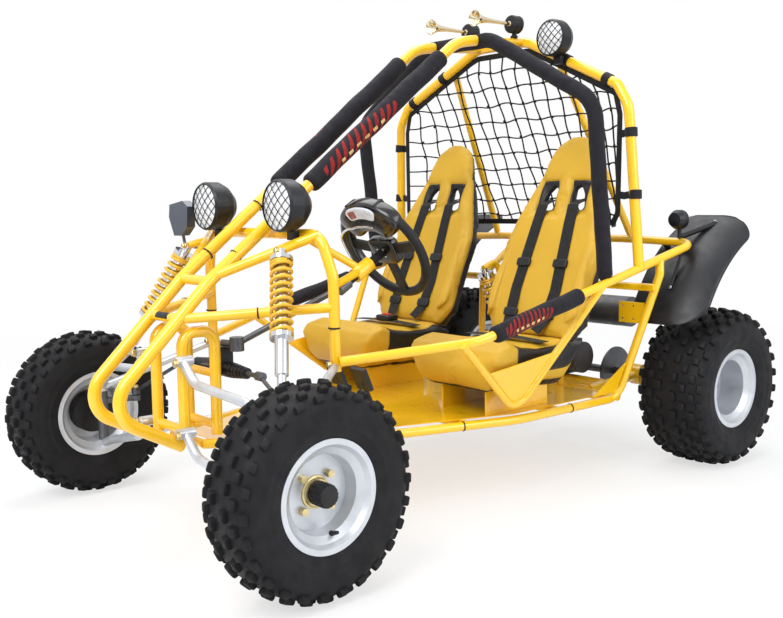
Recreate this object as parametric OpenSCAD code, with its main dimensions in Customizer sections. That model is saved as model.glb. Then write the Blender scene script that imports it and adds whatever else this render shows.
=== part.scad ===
// Two-seat off-road go-kart with a welded tube frame. Millimetres, front towards -Y, left side towards +X.

/* [Wheels] */
// Front axle line to rear axle line
wheelbase = 1785; // [1740:5:1830]
// Centre to centre of the front tyres
front_track = 1250; // [1230:2:1300]
// Centre to centre of the rear tyres
rear_track = 1192; // [1180:2:1220]
// Front tyre diameter out to the lugs' tips
front_tyre_d = 533; // [520:1:545]
// Front tyre width
front_tyre_w = 178; // [160:1:190]
// Rear tyre diameter out to the lugs' tips
rear_tyre_d = 559; // [540:1:565]
// Rear tyre width
rear_tyre_w = 254; // [230:1:260]
// Bead seat diameter of all rims
rim_d = 254; // [250:1:258]
// Bolt circle of the wheel hubs
hub_bolt_circle = 110; // [100:1:120]

/* [Frame] */
// Outside diameter of the nose loops and hoops
main_tube_d = 36; // [34:1:38]
// Outside diameter of the side, floor and dash tubes
rail_tube_d = 28; // [25:1:30]
// Half the distance between the nose loops
nose_half_w = 78; // [74:1:84]
// Half the distance between the pillars at the roof
pillar_half_w = 102; // [98:1:110]
// Height of the floor rails' centre line
floor_z = 262; // [255:1:270]
// Half width of the dash hoop
dash_half_w = 330; // [320:1:340]
// Dash hoop behind the front axle
dash_y = 300; // [296:1:304]
// Half width of the front roll hoop
hoop_half_w = 562; // [552:1:570]
// Height of the front roll hoop's top centre line
hoop_top_z = 1484; // [1470:1:1500]
// Rear roll hoop behind the front axle
rear_hoop_y = 1342; // [1338:1:1350]
// Height of the rear roll hoop's top centre line
rear_hoop_top_z = 1500; // [1490:1:1510]
// Half width across the side bars
side_half_w = 600; // [594:1:606]
// Foam thickness of the pads
pad_t = 13; // [8:1:15]

/* [Seats] */
// Free way between the seats and the outside of the side bars
seat_side_gap = 88; // [84:1:94]
// Seat back lean from upright
seat_recline = 22; // [18:0.5:24]
// Seat back thickness
seat_t = 58; // [50:1:64]
// Seat width
seat_w = 424; // [410:1:430]

/* [Steering] */
// Steering wheel rim diameter
wheel_rim_d = 330; // [310:1:340]
// Column rise from level
column_rise = 31; // [28:0.5:33]
// Steering arm length of the front knuckles
steer_arm = 108; // [100:1:112]

/* [Hidden] */

$fn = 32;
sides = [1, -1];
// Gap between two pieces that are welded or clamped together
weld_gap = 0.3;
// Gap of a turning or sliding fit, on the radius
run_gap = 0.1;
// Elbows are this much fuller than their straights, which lap into them by bend_lap
bend_swell = 0.25;
bend_lap = 2;
front_axle_y = -(wheelbase + (rear_tyre_d - front_tyre_d) / 2) / 2;
rear_axle_y = front_axle_y + wheelbase;
front_axle_z = front_tyre_d / 2;
rear_axle_z = rear_tyre_d / 2;
steel_yellow = [0.95, 0.72, 0.06];
silver = [0.74, 0.76, 0.79];
foam_black = [0.07, 0.07, 0.08];
gold = [0.82, 0.62, 0.14];

// A point given from the middle, behind the front axle, above the ground
function at(x, y, z) = [x, front_axle_y + y, z];
function unit(v) = v / norm(v);
function side(p, s) = [p.x * s, p.y, p.z];
function sided(path, s) = [for (p = path) side(p, s)];
function turn(p, i) = acos(unit(p[i] - p[i - 1]) * unit(p[i + 1] - p[i]));
function trim(p, r, i) = i == 0 || i == len(p) - 1 ? 0 : r[i - 1] * tan(turn(p, i) / 2);

// Straight round bar between two points
module rod(a, b, d) {
    v = b - a;
    translate(a) rotate([0, acos(v.z / norm(v)), atan2(v.y, v.x)]) cylinder(d = d, h = norm(v));
}

// Quarter-round elbow at the middle one of three points
module elbow(a, b, c, r, d) {
    u = unit(b - a);
    w = unit(c - b);
    n = unit(cross(u, w));
    sweep = acos(u * w);
    start = b - u * r * tan(sweep / 2);
    inward = cross(n, u);
    mid = start + inward * r;
    multmatrix([[-inward.x, u.x, n.x, mid.x], [-inward.y, u.y, n.y, mid.y], [-inward.z, u.z, n.z, mid.z]])
        rotate_extrude(angle = sweep) translate([r, 0]) circle(d = d);
}

// Tube along a path of points with one bend radius for each inner point
module bent_tube(path, bends, d) {
    last = len(path) - 1;
    for (i = [0 : last - 1]) {
        u = unit(path[i + 1] - path[i]);
        start = i == 0 ? 0 : trim(path, bends, i) - bend_lap;
        finish = i == last - 1 ? 0 : trim(path, bends, i + 1) - bend_lap;
        rod(path[i] + u * start, path[i + 1] - u * finish, d);
    }
    for (i = [1 : last - 1]) elbow(path[i - 1], path[i], path[i + 1], bends[i - 1], d + 2 * bend_swell);
}

// Round coil between two points
module coil(a, b, coil_d, wire_d, turns) {
    steps = 12 * turns;
    ring = 6;
    v = b - a;
    free = norm(v) - wire_d;
    pts = [for (i = [0 : steps]) let (t = 360 * turns * i / steps, h = wire_d / 2 + free * i / steps)
        for (k = [0 : ring - 1]) let (q = 360 * k / ring, r = coil_d / 2 + wire_d / 2 * cos(q))
        [r * cos(t), r * sin(t), h + wire_d / 2 * sin(q)]];
    skin = [for (i = [0 : steps - 1]) for (k = [0 : ring - 1]) let (j = (k + 1) % ring)
        [i * ring + k, i * ring + j, (i + 1) * ring + j, (i + 1) * ring + k]];
    caps = [[for (k = [0 : ring - 1]) k], [for (k = [0 : ring - 1]) steps * ring + ring - 1 - k]];
    translate(a) rotate([0, acos(v.z / norm(v)), atan2(v.y, v.x)])
        polyhedron(points = pts, faces = concat([for (f = skin) [f[3], f[2], f[1], f[0]]],
            [[for (k = [ring - 1 : -1 : 0]) caps[0][k]], [for (k = [ring - 1 : -1 : 0]) caps[1][k]]]));
}

// Frame: nose loops that run on as the pillars
nose_path = [at(nose_half_w, -40, 280), at(nose_half_w, -272, 403), at(nose_half_w, 65, 734),
    at(pillar_half_w, 1010, 1470), at(pillar_half_w, 1100, hoop_top_z)];
nose_bends = [78, 300, 160];
cross_low = at(0, -36, 634);
cross_high = at(0, 62, 731);

module nose_frame() {
    color(steel_yellow) difference() {
        union() {
            for (s = sides) bent_tube(sided(nose_path, s), nose_bends, main_tube_d);
            for (c = [cross_low, cross_high]) rod(c - [nose_half_w, 0, 0], c + [nose_half_w, 0, 0],
                rail_tube_d);
        }
        bent_tube(hoop_path, hoop_bends, hoop_pad_d + 2 * weld_gap);
    }
}

// Frame: dash hoop with its shoulder rails and upper rails
dash_top_z = 858;
dash_tube_d = rail_tube_d + 3;
dash_path = [at(dash_half_w, dash_y + 8, 478), at(dash_half_w, dash_y + 4, 740),
    at(dash_half_w - 40, dash_y - 8, dash_top_z), at(-dash_half_w + 40, dash_y - 8, dash_top_z),
    at(-dash_half_w, dash_y + 4, 740), at(-dash_half_w, dash_y + 8, 478)];
dash_bends = [90, 60, 60, 90];
upper_rail = [at(nose_half_w, -30, 634), at(dash_half_w, dash_y + 5, 658)];
shoulder_rail = [at(nose_half_w, 78, 745), at(dash_half_w - 46, dash_y - 8, dash_top_z)];

module nose_cut() {
    for (s = sides) bent_tube(sided(nose_path, s), nose_bends, main_tube_d + 2 * weld_gap);
    for (c = [cross_low, cross_high])
        rod(c - [nose_half_w, 0, 0], c + [nose_half_w, 0, 0], rail_tube_d + 2 * weld_gap);
}
module dash_frame() {
    color(steel_yellow) difference() {
        union() {
            bent_tube(dash_path, dash_bends, dash_tube_d);
            for (s = sides) for (r = [upper_rail, shoulder_rail])
                rod(side(r[0], s), side(r[1], s), rail_tube_d);
            rod(column_end + column_dir * 30, column_end + column_dir * 96, bearing_d);
            rod(at(dash_half_w, dash_y + 4, 716), column_end + column_dir * 62, stay_tube_d);
            rod(at(hub_at.x - 80, dash_y - 8, dash_top_z), column_end + column_dir * 62, stay_tube_d);
            for (s = sides) rod(side(shoulder_rail[0] + (shoulder_rail[1] - shoulder_rail[0]) * 0.8, s),
                side(front_strut[0], s), stay_tube_d);
        }
        nose_cut();
        for (s = sides) rod(side(front_strut[0], s), side(front_strut[1], s), strut_eye_d + 2 * weld_gap);
        rod(column_end, column_end + column_dir * 140, column_d + 2 * run_gap);
    }
}

// Frame: front uprights as two inverted U tubes on cross tubes
upright_y = [-30, 72];
upright_foot_z = 296;
upright_top_z = 594;
upright_tube_d = rail_tube_d + 4;
module front_uprights() {
    color(steel_yellow) difference() {
        union() {
            for (s = sides) bent_tube([side(at(nose_half_w, upright_y[0], upright_foot_z), s),
                side(at(nose_half_w, upright_y[0], upright_top_z), s),
                side(at(nose_half_w, upright_y[1], upright_top_z), s),
                side(at(nose_half_w, upright_y[1], upright_foot_z), s)], [40, 40], upright_tube_d);
            for (y = upright_y) rod(at(-nose_half_w, y, 322), at(nose_half_w, y, 322), rail_tube_d - 2);
            rod(at(-nose_half_w, upright_y[1], rack.z), at(nose_half_w, upright_y[1], rack.z),
                rail_tube_d - 4);
        }
        nose_cut();
    }
}

// Axis of a side bar, which the rear posts and the rear hoop stand under and on
side_path = [at(dash_half_w + 22, dash_y + 4, 507), at(552, 655, 548), at(side_half_w, 1668, 792),
    at(300, 1676, 800)];
side_bends = [160, 60];
// Point on the axis of the long straight run of the left side bar, at a distance behind the front axle
function on_side_bar(y) = side_path[1] + (side_path[2] - side_path[1])
    * (at(0, y, 0).y - side_path[1].y) / (side_path[2].y - side_path[1].y);

// Frame: floor rails that turn up behind the seats, with cross tubes
floor_path = [at(nose_half_w + 6, 20, floor_z + 14), at(335, 549, floor_z), at(452, 930, floor_z),
    at(458, 1436, floor_z), at(side_half_w - 4, 1470, 694), on_side_bar(1476)];
floor_bends = [300, 400, 60, 45];
floor_cross_y = [420, 760, 1120, 1400];
cross_tube_d = rail_tube_d - 3;
// Cross tubes sit flush with the tops of the rails, where the floor sheet lies
cross_z = floor_z + (rail_tube_d - cross_tube_d) / 2;

module floor_frame() {
    color(steel_yellow) difference() {
        union() {
            for (s = sides) {
                bent_tube(sided(floor_path, s), floor_bends, rail_tube_d);
                corner_sheet(sided([floor_path[2], floor_path[3], floor_path[4]], s), 24, 120, 110);
                post_plate(s);
            }
            for (y = floor_cross_y) {
                half = lookup(y, [[20, nose_half_w + 6], [549, 335], [930, 452], [1436, 458]]);
                rod(at(-half, y, cross_z), at(half, y, cross_z), cross_tube_d);
            }
            rod(at(-nose_half_w - 8, 24, floor_z + 14), at(nose_half_w + 8, 24, floor_z + 14),
                cross_tube_d);
        }
        for (s = sides) {
            bent_tube(sided(side_path, s), side_bends, rail_tube_d + 2 * weld_gap);
            bent_tube(sided(nose_path, s), nose_bends, main_tube_d + 2 * weld_gap);
        }
    }
}

// Square plates on the rear posts of the floor rails, drilled for an accessory
plate_side = 72;
plate_pitch = 44;
plate_hole_d = 8.5;
post_plate_t = 5;
post_plate_z = 560;
// The plate reaches past its square to the post it is welded to
plate_reach = 30;
post_run = (post_plate_z - floor_z) / (floor_path[4].z - floor_z);
post_at = floor_path[3] + (floor_path[4] - floor_path[3]) * post_run;
plate_x = post_at.x - plate_side / 2 - plate_reach - 8;
module post_plate(s) {
    translate([s * plate_x, post_at.y, post_plate_z]) rotate([90, 0, 0]) linear_extrude(post_plate_t,
        center = true)
        difference() {
            translate([s * plate_reach / 2, 0]) square([plate_side + plate_reach, plate_side],
                center = true);
            for (a = sides) for (b = sides) translate([a, b] * plate_pitch / 2) circle(d = plate_hole_d);
        }
}

// Floor sheet under the seats
floor_t = 3;
module floor_pan() {
    color(steel_yellow) translate([0, front_axle_y, floor_z + rail_tube_d / 2 + weld_gap])
        linear_extrude(floor_t) polygon([[-72, 60], [72, 60], [306, 552], [432, 930], [438, 1392],
            [-438, 1392], [-432, 930], [-306, 552]]);
}

// Side bars with their V braces and gusset plates
vee_path = [at(538, 600, 542), at(452, 914, floor_z + rail_tube_d + weld_gap), at(583, 1180, 676)];
module side_bar(s) {
    color(steel_yellow) difference() {
        union() {
            bent_tube(sided(side_path, s), side_bends, rail_tube_d);
            bent_tube(sided(vee_path, s), [60], rail_tube_d - 3);
            corner_sheet(sided(vee_path, s), 8, vee_reach[0], vee_reach[1]);
        }
        bent_tube(dash_path, dash_bends, dash_tube_d + 2 * weld_gap);
    }
}
// Sheet in the corner of three points, set in from it and reaching along both sides
plate_t = 4;
vee_reach = [220, 215];
module corner_sheet(corner, inset, reach_a, reach_c) {
    u = unit(corner[2] - corner[1]);
    v = unit(corner[0] - corner[1]);
    low = corner[1] + (u + v) * inset;
    n = unit(cross(v, u));
    w = cross(n, u);
    multmatrix([[u.x, w.x, n.x, low.x], [u.y, w.y, n.y, low.y], [u.z, w.z, n.z, low.z]])
        translate([0, 0, -plate_t / 2]) linear_extrude(plate_t)
            polygon([[0, 0], [reach_c, 0], [v * u, v * w] * reach_a]);
}
module side_bar_left() { side_bar(1); }
module side_bar_right() { side_bar(-1); }

// Front roll hoop and its foam sleeve
hoop_lean = 0.12;
function hoop_at(x, z) = at(x, 1124 + (hoop_top_z - z) * hoop_lean, z);
hoop_path = [hoop_at(hoop_half_w, 690), hoop_at(hoop_half_w, 1250), hoop_at(150, hoop_top_z),
    hoop_at(-150, hoop_top_z), hoop_at(-hoop_half_w, 1250), hoop_at(-hoop_half_w, 690)];
hoop_bends = [95, 120, 120, 95];
hoop_pad_d = main_tube_d + 2 * pad_t - 10;
module front_hoop() {
    color(steel_yellow) difference() {
        bent_tube(hoop_path, hoop_bends, main_tube_d - 4);
        for (s = sides) bent_tube(sided(side_path, s), side_bends, rail_tube_d + 2 * weld_gap);
    }
}
module hoop_pad() {
    color(foam_black) difference() {
        bent_tube(hoop_path, hoop_bends, hoop_pad_d);
        bent_tube(hoop_path, hoop_bends, main_tube_d - 4 + 2 * weld_gap);
        for (s = sides) bent_tube(sided(side_path, s), side_bends, rail_tube_d + 2 * weld_gap + 6);
    }
}

// Foam sleeves on the pillars and side bars
pillar_pad_span = [[at(nose_half_w, 65, 734), at(pillar_half_w, 1010, 1470)], [0.36, 0.93]];
side_pad_span = [[at(552, 655, 548), at(side_half_w, 1668, 792)], [0.05, 0.42]];
module sleeves(span, tube_d) {
    for (s = sides) {
        a = side(span[0][0], s);
        b = side(span[0][1], s);
        p = a + (b - a) * span[1][0];
        q = a + (b - a) * span[1][1];
        difference() {
            rod(p, q, tube_d + 2 * pad_t);
            rod(a, b, tube_d + 2 * weld_gap);
        }
    }
}
module pillar_pads() { color(foam_black) sleeves(pillar_pad_span, main_tube_d); }
module side_pads() { color(foam_black) sleeves(side_pad_span, rail_tube_d); }

// Rear roll hoop with roof links and rear braces
rear_hoop_d = main_tube_d - 2;
rear_hoop_bends = [100, 40, 120, 120, 40, 100];
rear_hoop_foot = on_side_bar(1366);
rear_hoop_path = [rear_hoop_foot, at(554, rear_hoop_y, 1245), at(508, rear_hoop_y, 1318),
    at(120, rear_hoop_y, rear_hoop_top_z), at(-120, rear_hoop_y, rear_hoop_top_z),
    at(-508, rear_hoop_y, 1318), at(-554, rear_hoop_y, 1245), side(rear_hoop_foot, -1)];
// Roof links from the front hoop back to the rear one, and the gap under what stands on their slope
link_front_y = 1130;
link_clear = 0.8;
function roof_link_z(y) = hoop_top_z
    + (rear_hoop_top_z - hoop_top_z) * (y - link_front_y) / (rear_hoop_y - link_front_y);
module rear_hoop() {
    color(steel_yellow) difference() {
        union() {
            bent_tube(rear_hoop_path, rear_hoop_bends, rear_hoop_d);
            for (s = sides) {
                rod(side(at(pillar_half_w, link_front_y, hoop_top_z), s),
                    side(at(pillar_half_w, rear_hoop_y, rear_hoop_top_z), s), rail_tube_d);
                rod(side(at(250, rear_hoop_y + 10, 1432), s), side(at(330, 1676, 818), s),
                    rail_tube_d - 2);
            }
        }
        bent_tube(hoop_path, hoop_bends, hoop_pad_d + 2 * weld_gap);
        for (s = sides) bent_tube(sided(side_path, s), side_bends, rail_tube_d + 2 * weld_gap);
    }
}

// Rear frame: cross tube, seat bar and engine rails
module rear_frame() {
    color(steel_yellow) difference() {
        union() {
            rod(at(-300, 1676, 800), at(300, 1676, 800), rail_tube_d);
            rod(at(-590, 1452, 650), at(590, 1452, 650), rail_tube_d - 2);
            for (s = sides) {
                rod(side(at(200, 1676, 800), s), side(at(200, 1452, 650), s), rail_tube_d - 2);
                rod(side(at(200, 1452, 650), s), side(at(200, 1440, floor_z), s), rail_tube_d - 2);
            }
            rod(at(-458, 1440, floor_z), at(458, 1440, floor_z), rail_tube_d - 2);
            for (s = sides) {
                bent_tube([side(at(strut_x, 1452, 650), s), side(at(strut_x, 1424, 716), s),
                    side(rear_strut[0], s)],
                    [30], stay_tube_d);
                rod(side(at(200, 1440, floor_z), s), side(at(200, 1480, floor_z), s), stay_tube_d);
            }
        }
        rod(at(-bearing_x, 1480, floor_z), at(bearing_x, 1480, floor_z), swing_tube_d + 2 * weld_gap);
        for (s = sides) rod(side(rear_strut[0], s), side(rear_strut[1], s), strut_eye_d + 2 * weld_gap);
        for (s = sides) {
            bent_tube(sided(side_path, s), side_bends, rail_tube_d + 2 * weld_gap);
            bent_tube(sided(floor_path, s), floor_bends, rail_tube_d + 2 * weld_gap);
        }
    }
}

// Net behind the seats, slung from the rear hoop down to the rear cross tube
net_cell = 58;
net_cord = 6;
net_low = [1605, 852];
net_high = [1328, 1434];
module net_outline(inset) {
    tall = norm(net_high - net_low);
    offset(delta = -inset) polygon([[-425, 0], [425, 0], [470, 120], [470, tall * 0.6], [440,
        tall * 0.78],
        [286.5, tall * 0.9448], [205, tall], [-205, tall], [-286.5, tall * 0.9448], [-440, tall * 0.78],
        [-470, tall * 0.6], [-470, 120]]);
}
module safety_net() {
    lean = atan2(net_low.x - net_high.x, net_high.y - net_low.y);
    color(foam_black) translate(at(0, net_low.x, net_low.y)) rotate([90 + lean, 0, 0])
        linear_extrude(net_cord, center = true) difference() {
            net_outline(0);
            intersection() {
                for (i = [-8 : 8]) for (j = [0 : 11]) translate([i, j + 0.5] * net_cell)
                    square(net_cell - net_cord, center = true);
                net_outline(net_cord * 1.5);
            }
        }
}

// Seats
seat_x = side_half_w - seat_side_gap - seat_w / 2;
seat_foot = [0, 1135, 492];
seat_tall = 735;
// Lean of the head rest's rear face towards the front
head_taper = 9;
module seat_frame(s) {
    translate(at(s * seat_x, seat_foot.y, seat_foot.z)) rotate([-seat_recline, 0, 0]) children();
}
module seat_outline() {
    half = seat_w / 2;
    difference() {
        union() {
            polygon([[-half + 50, 0], [half - 50, 0], [half - 8, 60], [half, 330], [half - 22, 420],
                [118, 600],
                [104, 650], [-104, 650], [-118, 600], [22 - half, 420], [-half, 330], [8 - half, 60]]);
            translate([0, seat_tall - 105]) circle(r = 105);
        }
        for (m = sides) polygon([[m * 38, 465], [m * 96, 465], [m * 84, 530], [m * 62, 556], [m * 40,
            545]]);
    }
}
module seat_backs() {
    color([0.86, 0.68, 0.16]) for (s = sides) seat_frame(s) {
        difference() {
            rotate([90, 0, 0]) translate([0, 0, -seat_t]) linear_extrude(seat_t) seat_outline();
            translate([-seat_w / 2, seat_t, 540]) rotate([head_taper, 0, 0]) cube([seat_w, seat_t,
                seat_tall]);
        }
        for (m = sides) translate([m * (seat_w / 2 - 36), 0, 120]) rotate([90, 0, 0])
            linear_extrude(46) polygon([[-16, -70], [16, -40], [16, 230], [-16, 190]]);
    }
}
cushion_low = [[806, 368], [1160, 350]];
lap_z = 482;
// Steel feet between the floor sheet and the cushions
module seat_feet() {
    foot_z = floor_z + rail_tube_d / 2 + floor_t + 2 * weld_gap;
    color(foam_black) for (s = sides) for (m = sides) translate(at(s * seat_x + m * 96 - 3, 0, 0))
        rotate([90, 0, 90])
        linear_extrude(6) polygon([[840, foot_z], [1130, foot_z],
            [1130, lookup(1130, cushion_low) - 2 * weld_gap], [840, lookup(840,
                cushion_low) - 2 * weld_gap]]);
}
module seat_cushions() {
    color([0.86, 0.68, 0.16]) for (s = sides) intersection() {
        translate(at(s * seat_x - seat_w / 2, 0, 0)) rotate([90, 0, 90]) linear_extrude(seat_w)
            polygon([[778, 400], cushion_low[0], cushion_low[1], [1180, 380],
                [seat_foot.y + seat_t * cos(seat_recline),
                    seat_foot.z - seat_t * sin(seat_recline) - 2 * weld_gap],
                [seat_foot.y, seat_foot.z - 2 * weld_gap], [1080, lap_z], [1000, lap_z], [930, 492],
                    [840, 512],
                [792, 498], [774, 470]]);
        translate(at(s * seat_x, 1300, 0)) rotate([90, 0, 0]) linear_extrude(600)
            polygon([[-120, 340], [120, 340], [seat_w / 2 - 18, 470], [seat_w / 2 - 10, 520],
                [10 - seat_w / 2, 520], [18 - seat_w / 2, 470]]);
    }
}

// Four-point harnesses
belt_w = 46;
belt_t = 3;
module harness() {
    color(foam_black) for (s = sides) {
        seat_frame(s) for (m = sides) translate([m * 66, -belt_t / 2 - weld_gap, 462])
            rotate([0, 180 + m * 4, 0]) translate([-belt_w / 2, -belt_t / 2, 0]) cube([belt_w, belt_t,
                380]);
        translate(at(s * seat_x, 1036, lap_z + weld_gap + belt_t / 2)) cube([seat_w - 60, belt_w,
            belt_t], center = true);
        translate(at(s * seat_x, 1036, lap_z + 2 * weld_gap + belt_t + 6)) cube([70, 64, 12],
            center = true);
    }
}

// Head lamps on the dash and one lamp on the rear hoop: x, y, z, diameter, depth
lamps = [[197, 258, 939, 148, 96], [-197, 258, 939, 148, 96], [287, 1306, 1486, 122, 84]];
lamp_shell = 5;
module lamp_place(l) { translate(at(l.x, l.y, l.z)) rotate([90, 0, 0]) children(); }
module lamp_housings() {
    color(foam_black) difference() {
        for (l = lamps) lamp_housing(l);
        bent_tube(rear_hoop_path, rear_hoop_bends, rear_hoop_d + 2 * weld_gap);
    }
}
module lamp_housing(l) {
    lamp_place(l) {
        difference() {
            rotate_extrude() polygon([[0, -l[4] / 2], [l[3] * 0.26, -l[4] / 2], [l[3] * 0.42,
                -l[4] * 0.25],
                [l[3] / 2, 0], [l[3] / 2, l[4] * 0.42], [l[3] / 2 - lamp_shell, l[4] / 2], [0,
                    l[4] / 2]]);
            translate([0, 0, l[4] / 2 - 18]) cylinder(d = l[3] - 2 * lamp_shell - 2, h = 30);
        }
        translate([0, -l[3] / 2 - 10, -8]) cube([30, 26, 20], center = true);
    }
}
module lamp_lenses() {
    color([0.92, 0.94, 0.96]) for (l = lamps) lamp_place(l) translate([0, 0, l[4] / 2 - 18 + weld_gap])
        cylinder(d = l[3] - 2 * lamp_shell - 3, h = 8);
}
guard_bar = 3;
module lamp_guards() {
    color(foam_black) for (l = lamps) lamp_place(l) translate([0, 0, l[4] / 2 - 5])
        linear_extrude(guard_bar)
        intersection() {
            circle(d = l[3] - 2 * lamp_shell - 3);
            difference() {
                square(l[3], center = true);
                rotate(45) for (i = [-3 : 3]) for (j = [-3 : 3]) translate([i, j] * l[3] / 6)
                    square(l[3] / 6 - guard_bar, center = true);
            }
        }
}

// Trumpet horns above the roof links
horn_x = 106;
horn_foot_y = 1292;
horn_foot_z = roof_link_z(horn_foot_y) + rail_tube_d / 2 + link_clear;
horn_z = horn_foot_z + 45;
module horns() {
    color([0.85, 0.72, 0.42]) for (s = sides) translate(at(s * horn_x, 1092, horn_z)) rotate([-90, 0,
        0]) {
        rotate_extrude() polygon([[0, 14], [20, 0], [27, 0], [18, 18], [10, 50], [6, 110], [6, 178],
            [32, 178],
            [32, 222], [0, 222]]);
    }
    color([0.85, 0.72, 0.42]) for (s = sides) translate(at(s * horn_x, horn_foot_y, horn_foot_z))
        cylinder(d = 16, h = horn_z - horn_foot_z);
}

// Mirror on the right end of the dash hoop: tapered head on a bent stalk
mirror_at = [-324, 206, 905];
mirror_half_t = 17;
mirror_foot = (dash_path[3] + dash_path[4]) / 2;
stalk_d = 10;
stalk_path = [at(mirror_at.x, mirror_at.y, mirror_at.z - 50), at(mirror_at.x + 2, mirror_at.y + 6,
    mirror_at.z - 90),
    mirror_foot];
module wing_mirror() {
    color([0.2, 0.23, 0.27]) translate(at(mirror_at.x, mirror_at.y, mirror_at.z)) rotate([90, 0, 12])
        linear_extrude(2 * mirror_half_t, center = true)
            polygon([[-22, -58], [12, -58], [40, -30], [44, 34], [22, 52], [-40, 40], [-44, 0]]);
    color([0.84, 0.85, 0.87]) difference() {
        bent_tube(stalk_path, [14], stalk_d);
        bent_tube(dash_path, dash_bends, dash_tube_d + 2 * weld_gap);
    }
}

// Turn signals at the rear corners
signal = [545, 1660, 872];
module turn_signals() {
    color(foam_black) for (s = sides) translate(side(at(signal.x, signal.y, signal.z), s)) {
        rotate([90, 0, 0]) rotate_extrude() polygon([[0, -24], [20, -24], [34, -6], [34, 14], [24,
            34], [0, 38]]);
        translate([0, 0, -64.2]) cylinder(d = 14, h = 36);
    }
}
module turn_lenses() {
    color([0.95, 0.45, 0.06]) for (s = sides) translate(side(at(signal.x, signal.y + 24 + weld_gap,
        signal.z), s))
        rotate([-90, 0, 0]) cylinder(d1 = 40, d2 = 30, h = 14);
}

// Rear mudguards: arcs about an axis behind the rear axle
guard_r = 590;
guard_axis = [2057, 309];
guard_in = 452;
guard_out = 716;
module fenders() {
    color([0.05, 0.05, 0.06]) for (s = sides) {
        translate(at(0, guard_axis.x, guard_axis.y)) mirror([s < 0 ? 1 : 0, 0, 0])
            rotate([0, 90, 0]) rotate([0, 0, 199]) rotate_extrude(angle = 50)
                polygon([[guard_r, guard_in], [guard_r, 645], [guard_r - 44, guard_out],
                    [guard_r - 48, guard_out - 2], [guard_r - 5, 643], [guard_r - 5, guard_in]]);
        guard_stay(s);
    }
}
// Stub between the mudguard and the side bar's rear run
module guard_stay(s) {
    tail = side(side_path[2] + (side_path[3] - side_path[2]) * 0.4, s);
    hub = at(tail.x, guard_axis.x, guard_axis.y);
    out = unit(tail - hub);
    rod(hub + out * (guard_r - 3), tail - out * (rail_tube_d / 2 + weld_gap), 22);
}

// Front suspension arms, fixed at ride height
king_x = front_track / 2 - 105;
arm_tube_d = 26;
joint_rise = 92;
upper_z = front_axle_z + joint_rise;
lower_z = front_axle_z - joint_rise;
boss_d = 36;
boss_h = 24;
stud_d = 14;
pivot_d = 30;
pivot_x = nose_half_w + upright_tube_d / 2 + pivot_d / 2 + weld_gap;
module suspension_arm(s, front_path, rear_pivot, tip) {
    difference() {
        union() {
            bent_tube(concat(sided(front_path, s), [side(tip, s)]), [60, 60], arm_tube_d);
            rod(side(rear_pivot, s), side(tip, s), arm_tube_d - 2);
            translate(side(tip, s)) cylinder(d = boss_d, h = boss_h, center = true);
            translate(side(front_path[0], s)) rotate([90, 0, 0]) cylinder(d = pivot_d, h = 52,
                center = true);
        }
        translate(side(tip, s)) cylinder(d = stud_d + 2 * run_gap, h = boss_h + 40, center = true);
        bent_tube(dash_path, dash_bends, dash_tube_d + 2 * weld_gap);
        bent_tube(sided(floor_path, s), floor_bends, rail_tube_d + 2 * weld_gap);
        bent_tube(sided(side_path, s), side_bends, rail_tube_d + 2 * weld_gap);
        for (m = sides) translate(side(tip + [0, 0, m * 32], s)) cylinder(d = boss_d + 12, h = 40,
            center = true);
    }
}
module upper_arms() {
    color(silver) for (s = sides) {
        suspension_arm(s, [at(pivot_x, -46, 522), at(172, -46, 466), at(400, -28, 446)],
            at(dash_half_w, dash_y + 8, 496), at(king_x, 0, upper_z));
        difference() {
            rod(side(at(440, -19, 417), s), side(front_strut[1], s), stay_tube_d);
            rod(side(front_strut[0], s), side(front_strut[1] * 1.01 - front_strut[0] * 0.01, s),
                strut_eye_d + 2 * weld_gap);
        }
    }
}
module lower_arms() {
    color(silver) for (s = sides) suspension_arm(s,
        [at(pivot_x, -46, 322), at(170, -46, 266), at(400, -28, 210)],
        at(262, 396, floor_z + 4), at(king_x, 0, lower_z));
}

// Spring struts: top, bottom, and the share of the length the spring covers
front_strut = [at(254, 186, 818), at(436, 52, 474)];
strut_x = 105;
rear_strut = [at(strut_x, 1356, 690), at(strut_x, 1520, 330)];
spring_d = 54;
wire_d = 8;
strut_eye_d = 26;
function along(strut, t) = strut[0] + (strut[1] - strut[0]) * t;
module struts(strut, spring_end) {
    for (s = sides) {
        p = sided(strut, s);
        rod(p[0], along(p, 0.075), strut_eye_d);
        rod(along(p, 0.06), along(p, 0.09), spring_d + wire_d + 2);
        rod(along(p, 0.075), along(p, 0.9), 36);
        rod(along(p, spring_end), along(p, spring_end + 0.03), spring_d + wire_d + 2);
        rod(along(p, 0.89), p[1], strut_eye_d - 2);
    }
}
module springs(strut, spring_end, turns) {
    for (s = sides) {
        p = sided(strut, s);
        coil(along(p, 0.0908), along(p, spring_end - 0.0008), spring_d, wire_d, turns);
    }
}
module front_shocks() { color([0.86, 0.87, 0.89]) struts(front_strut, 0.62); }
module front_springs() { color(gold) springs(front_strut, 0.62, 11); }
module rear_shocks() { color([0.86, 0.87, 0.89]) struts(rear_strut, 0.7); }
module rear_springs() { color(gold) springs(rear_strut, 0.7, 10); }

// Steering: rack housing with boots, sliding bar with tie rods, shaft and wheel
rack = [0, 138, 469];
bar_d = 14;
bar_half = 206;
collar_half = 14;
bar_travel = 46;
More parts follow.
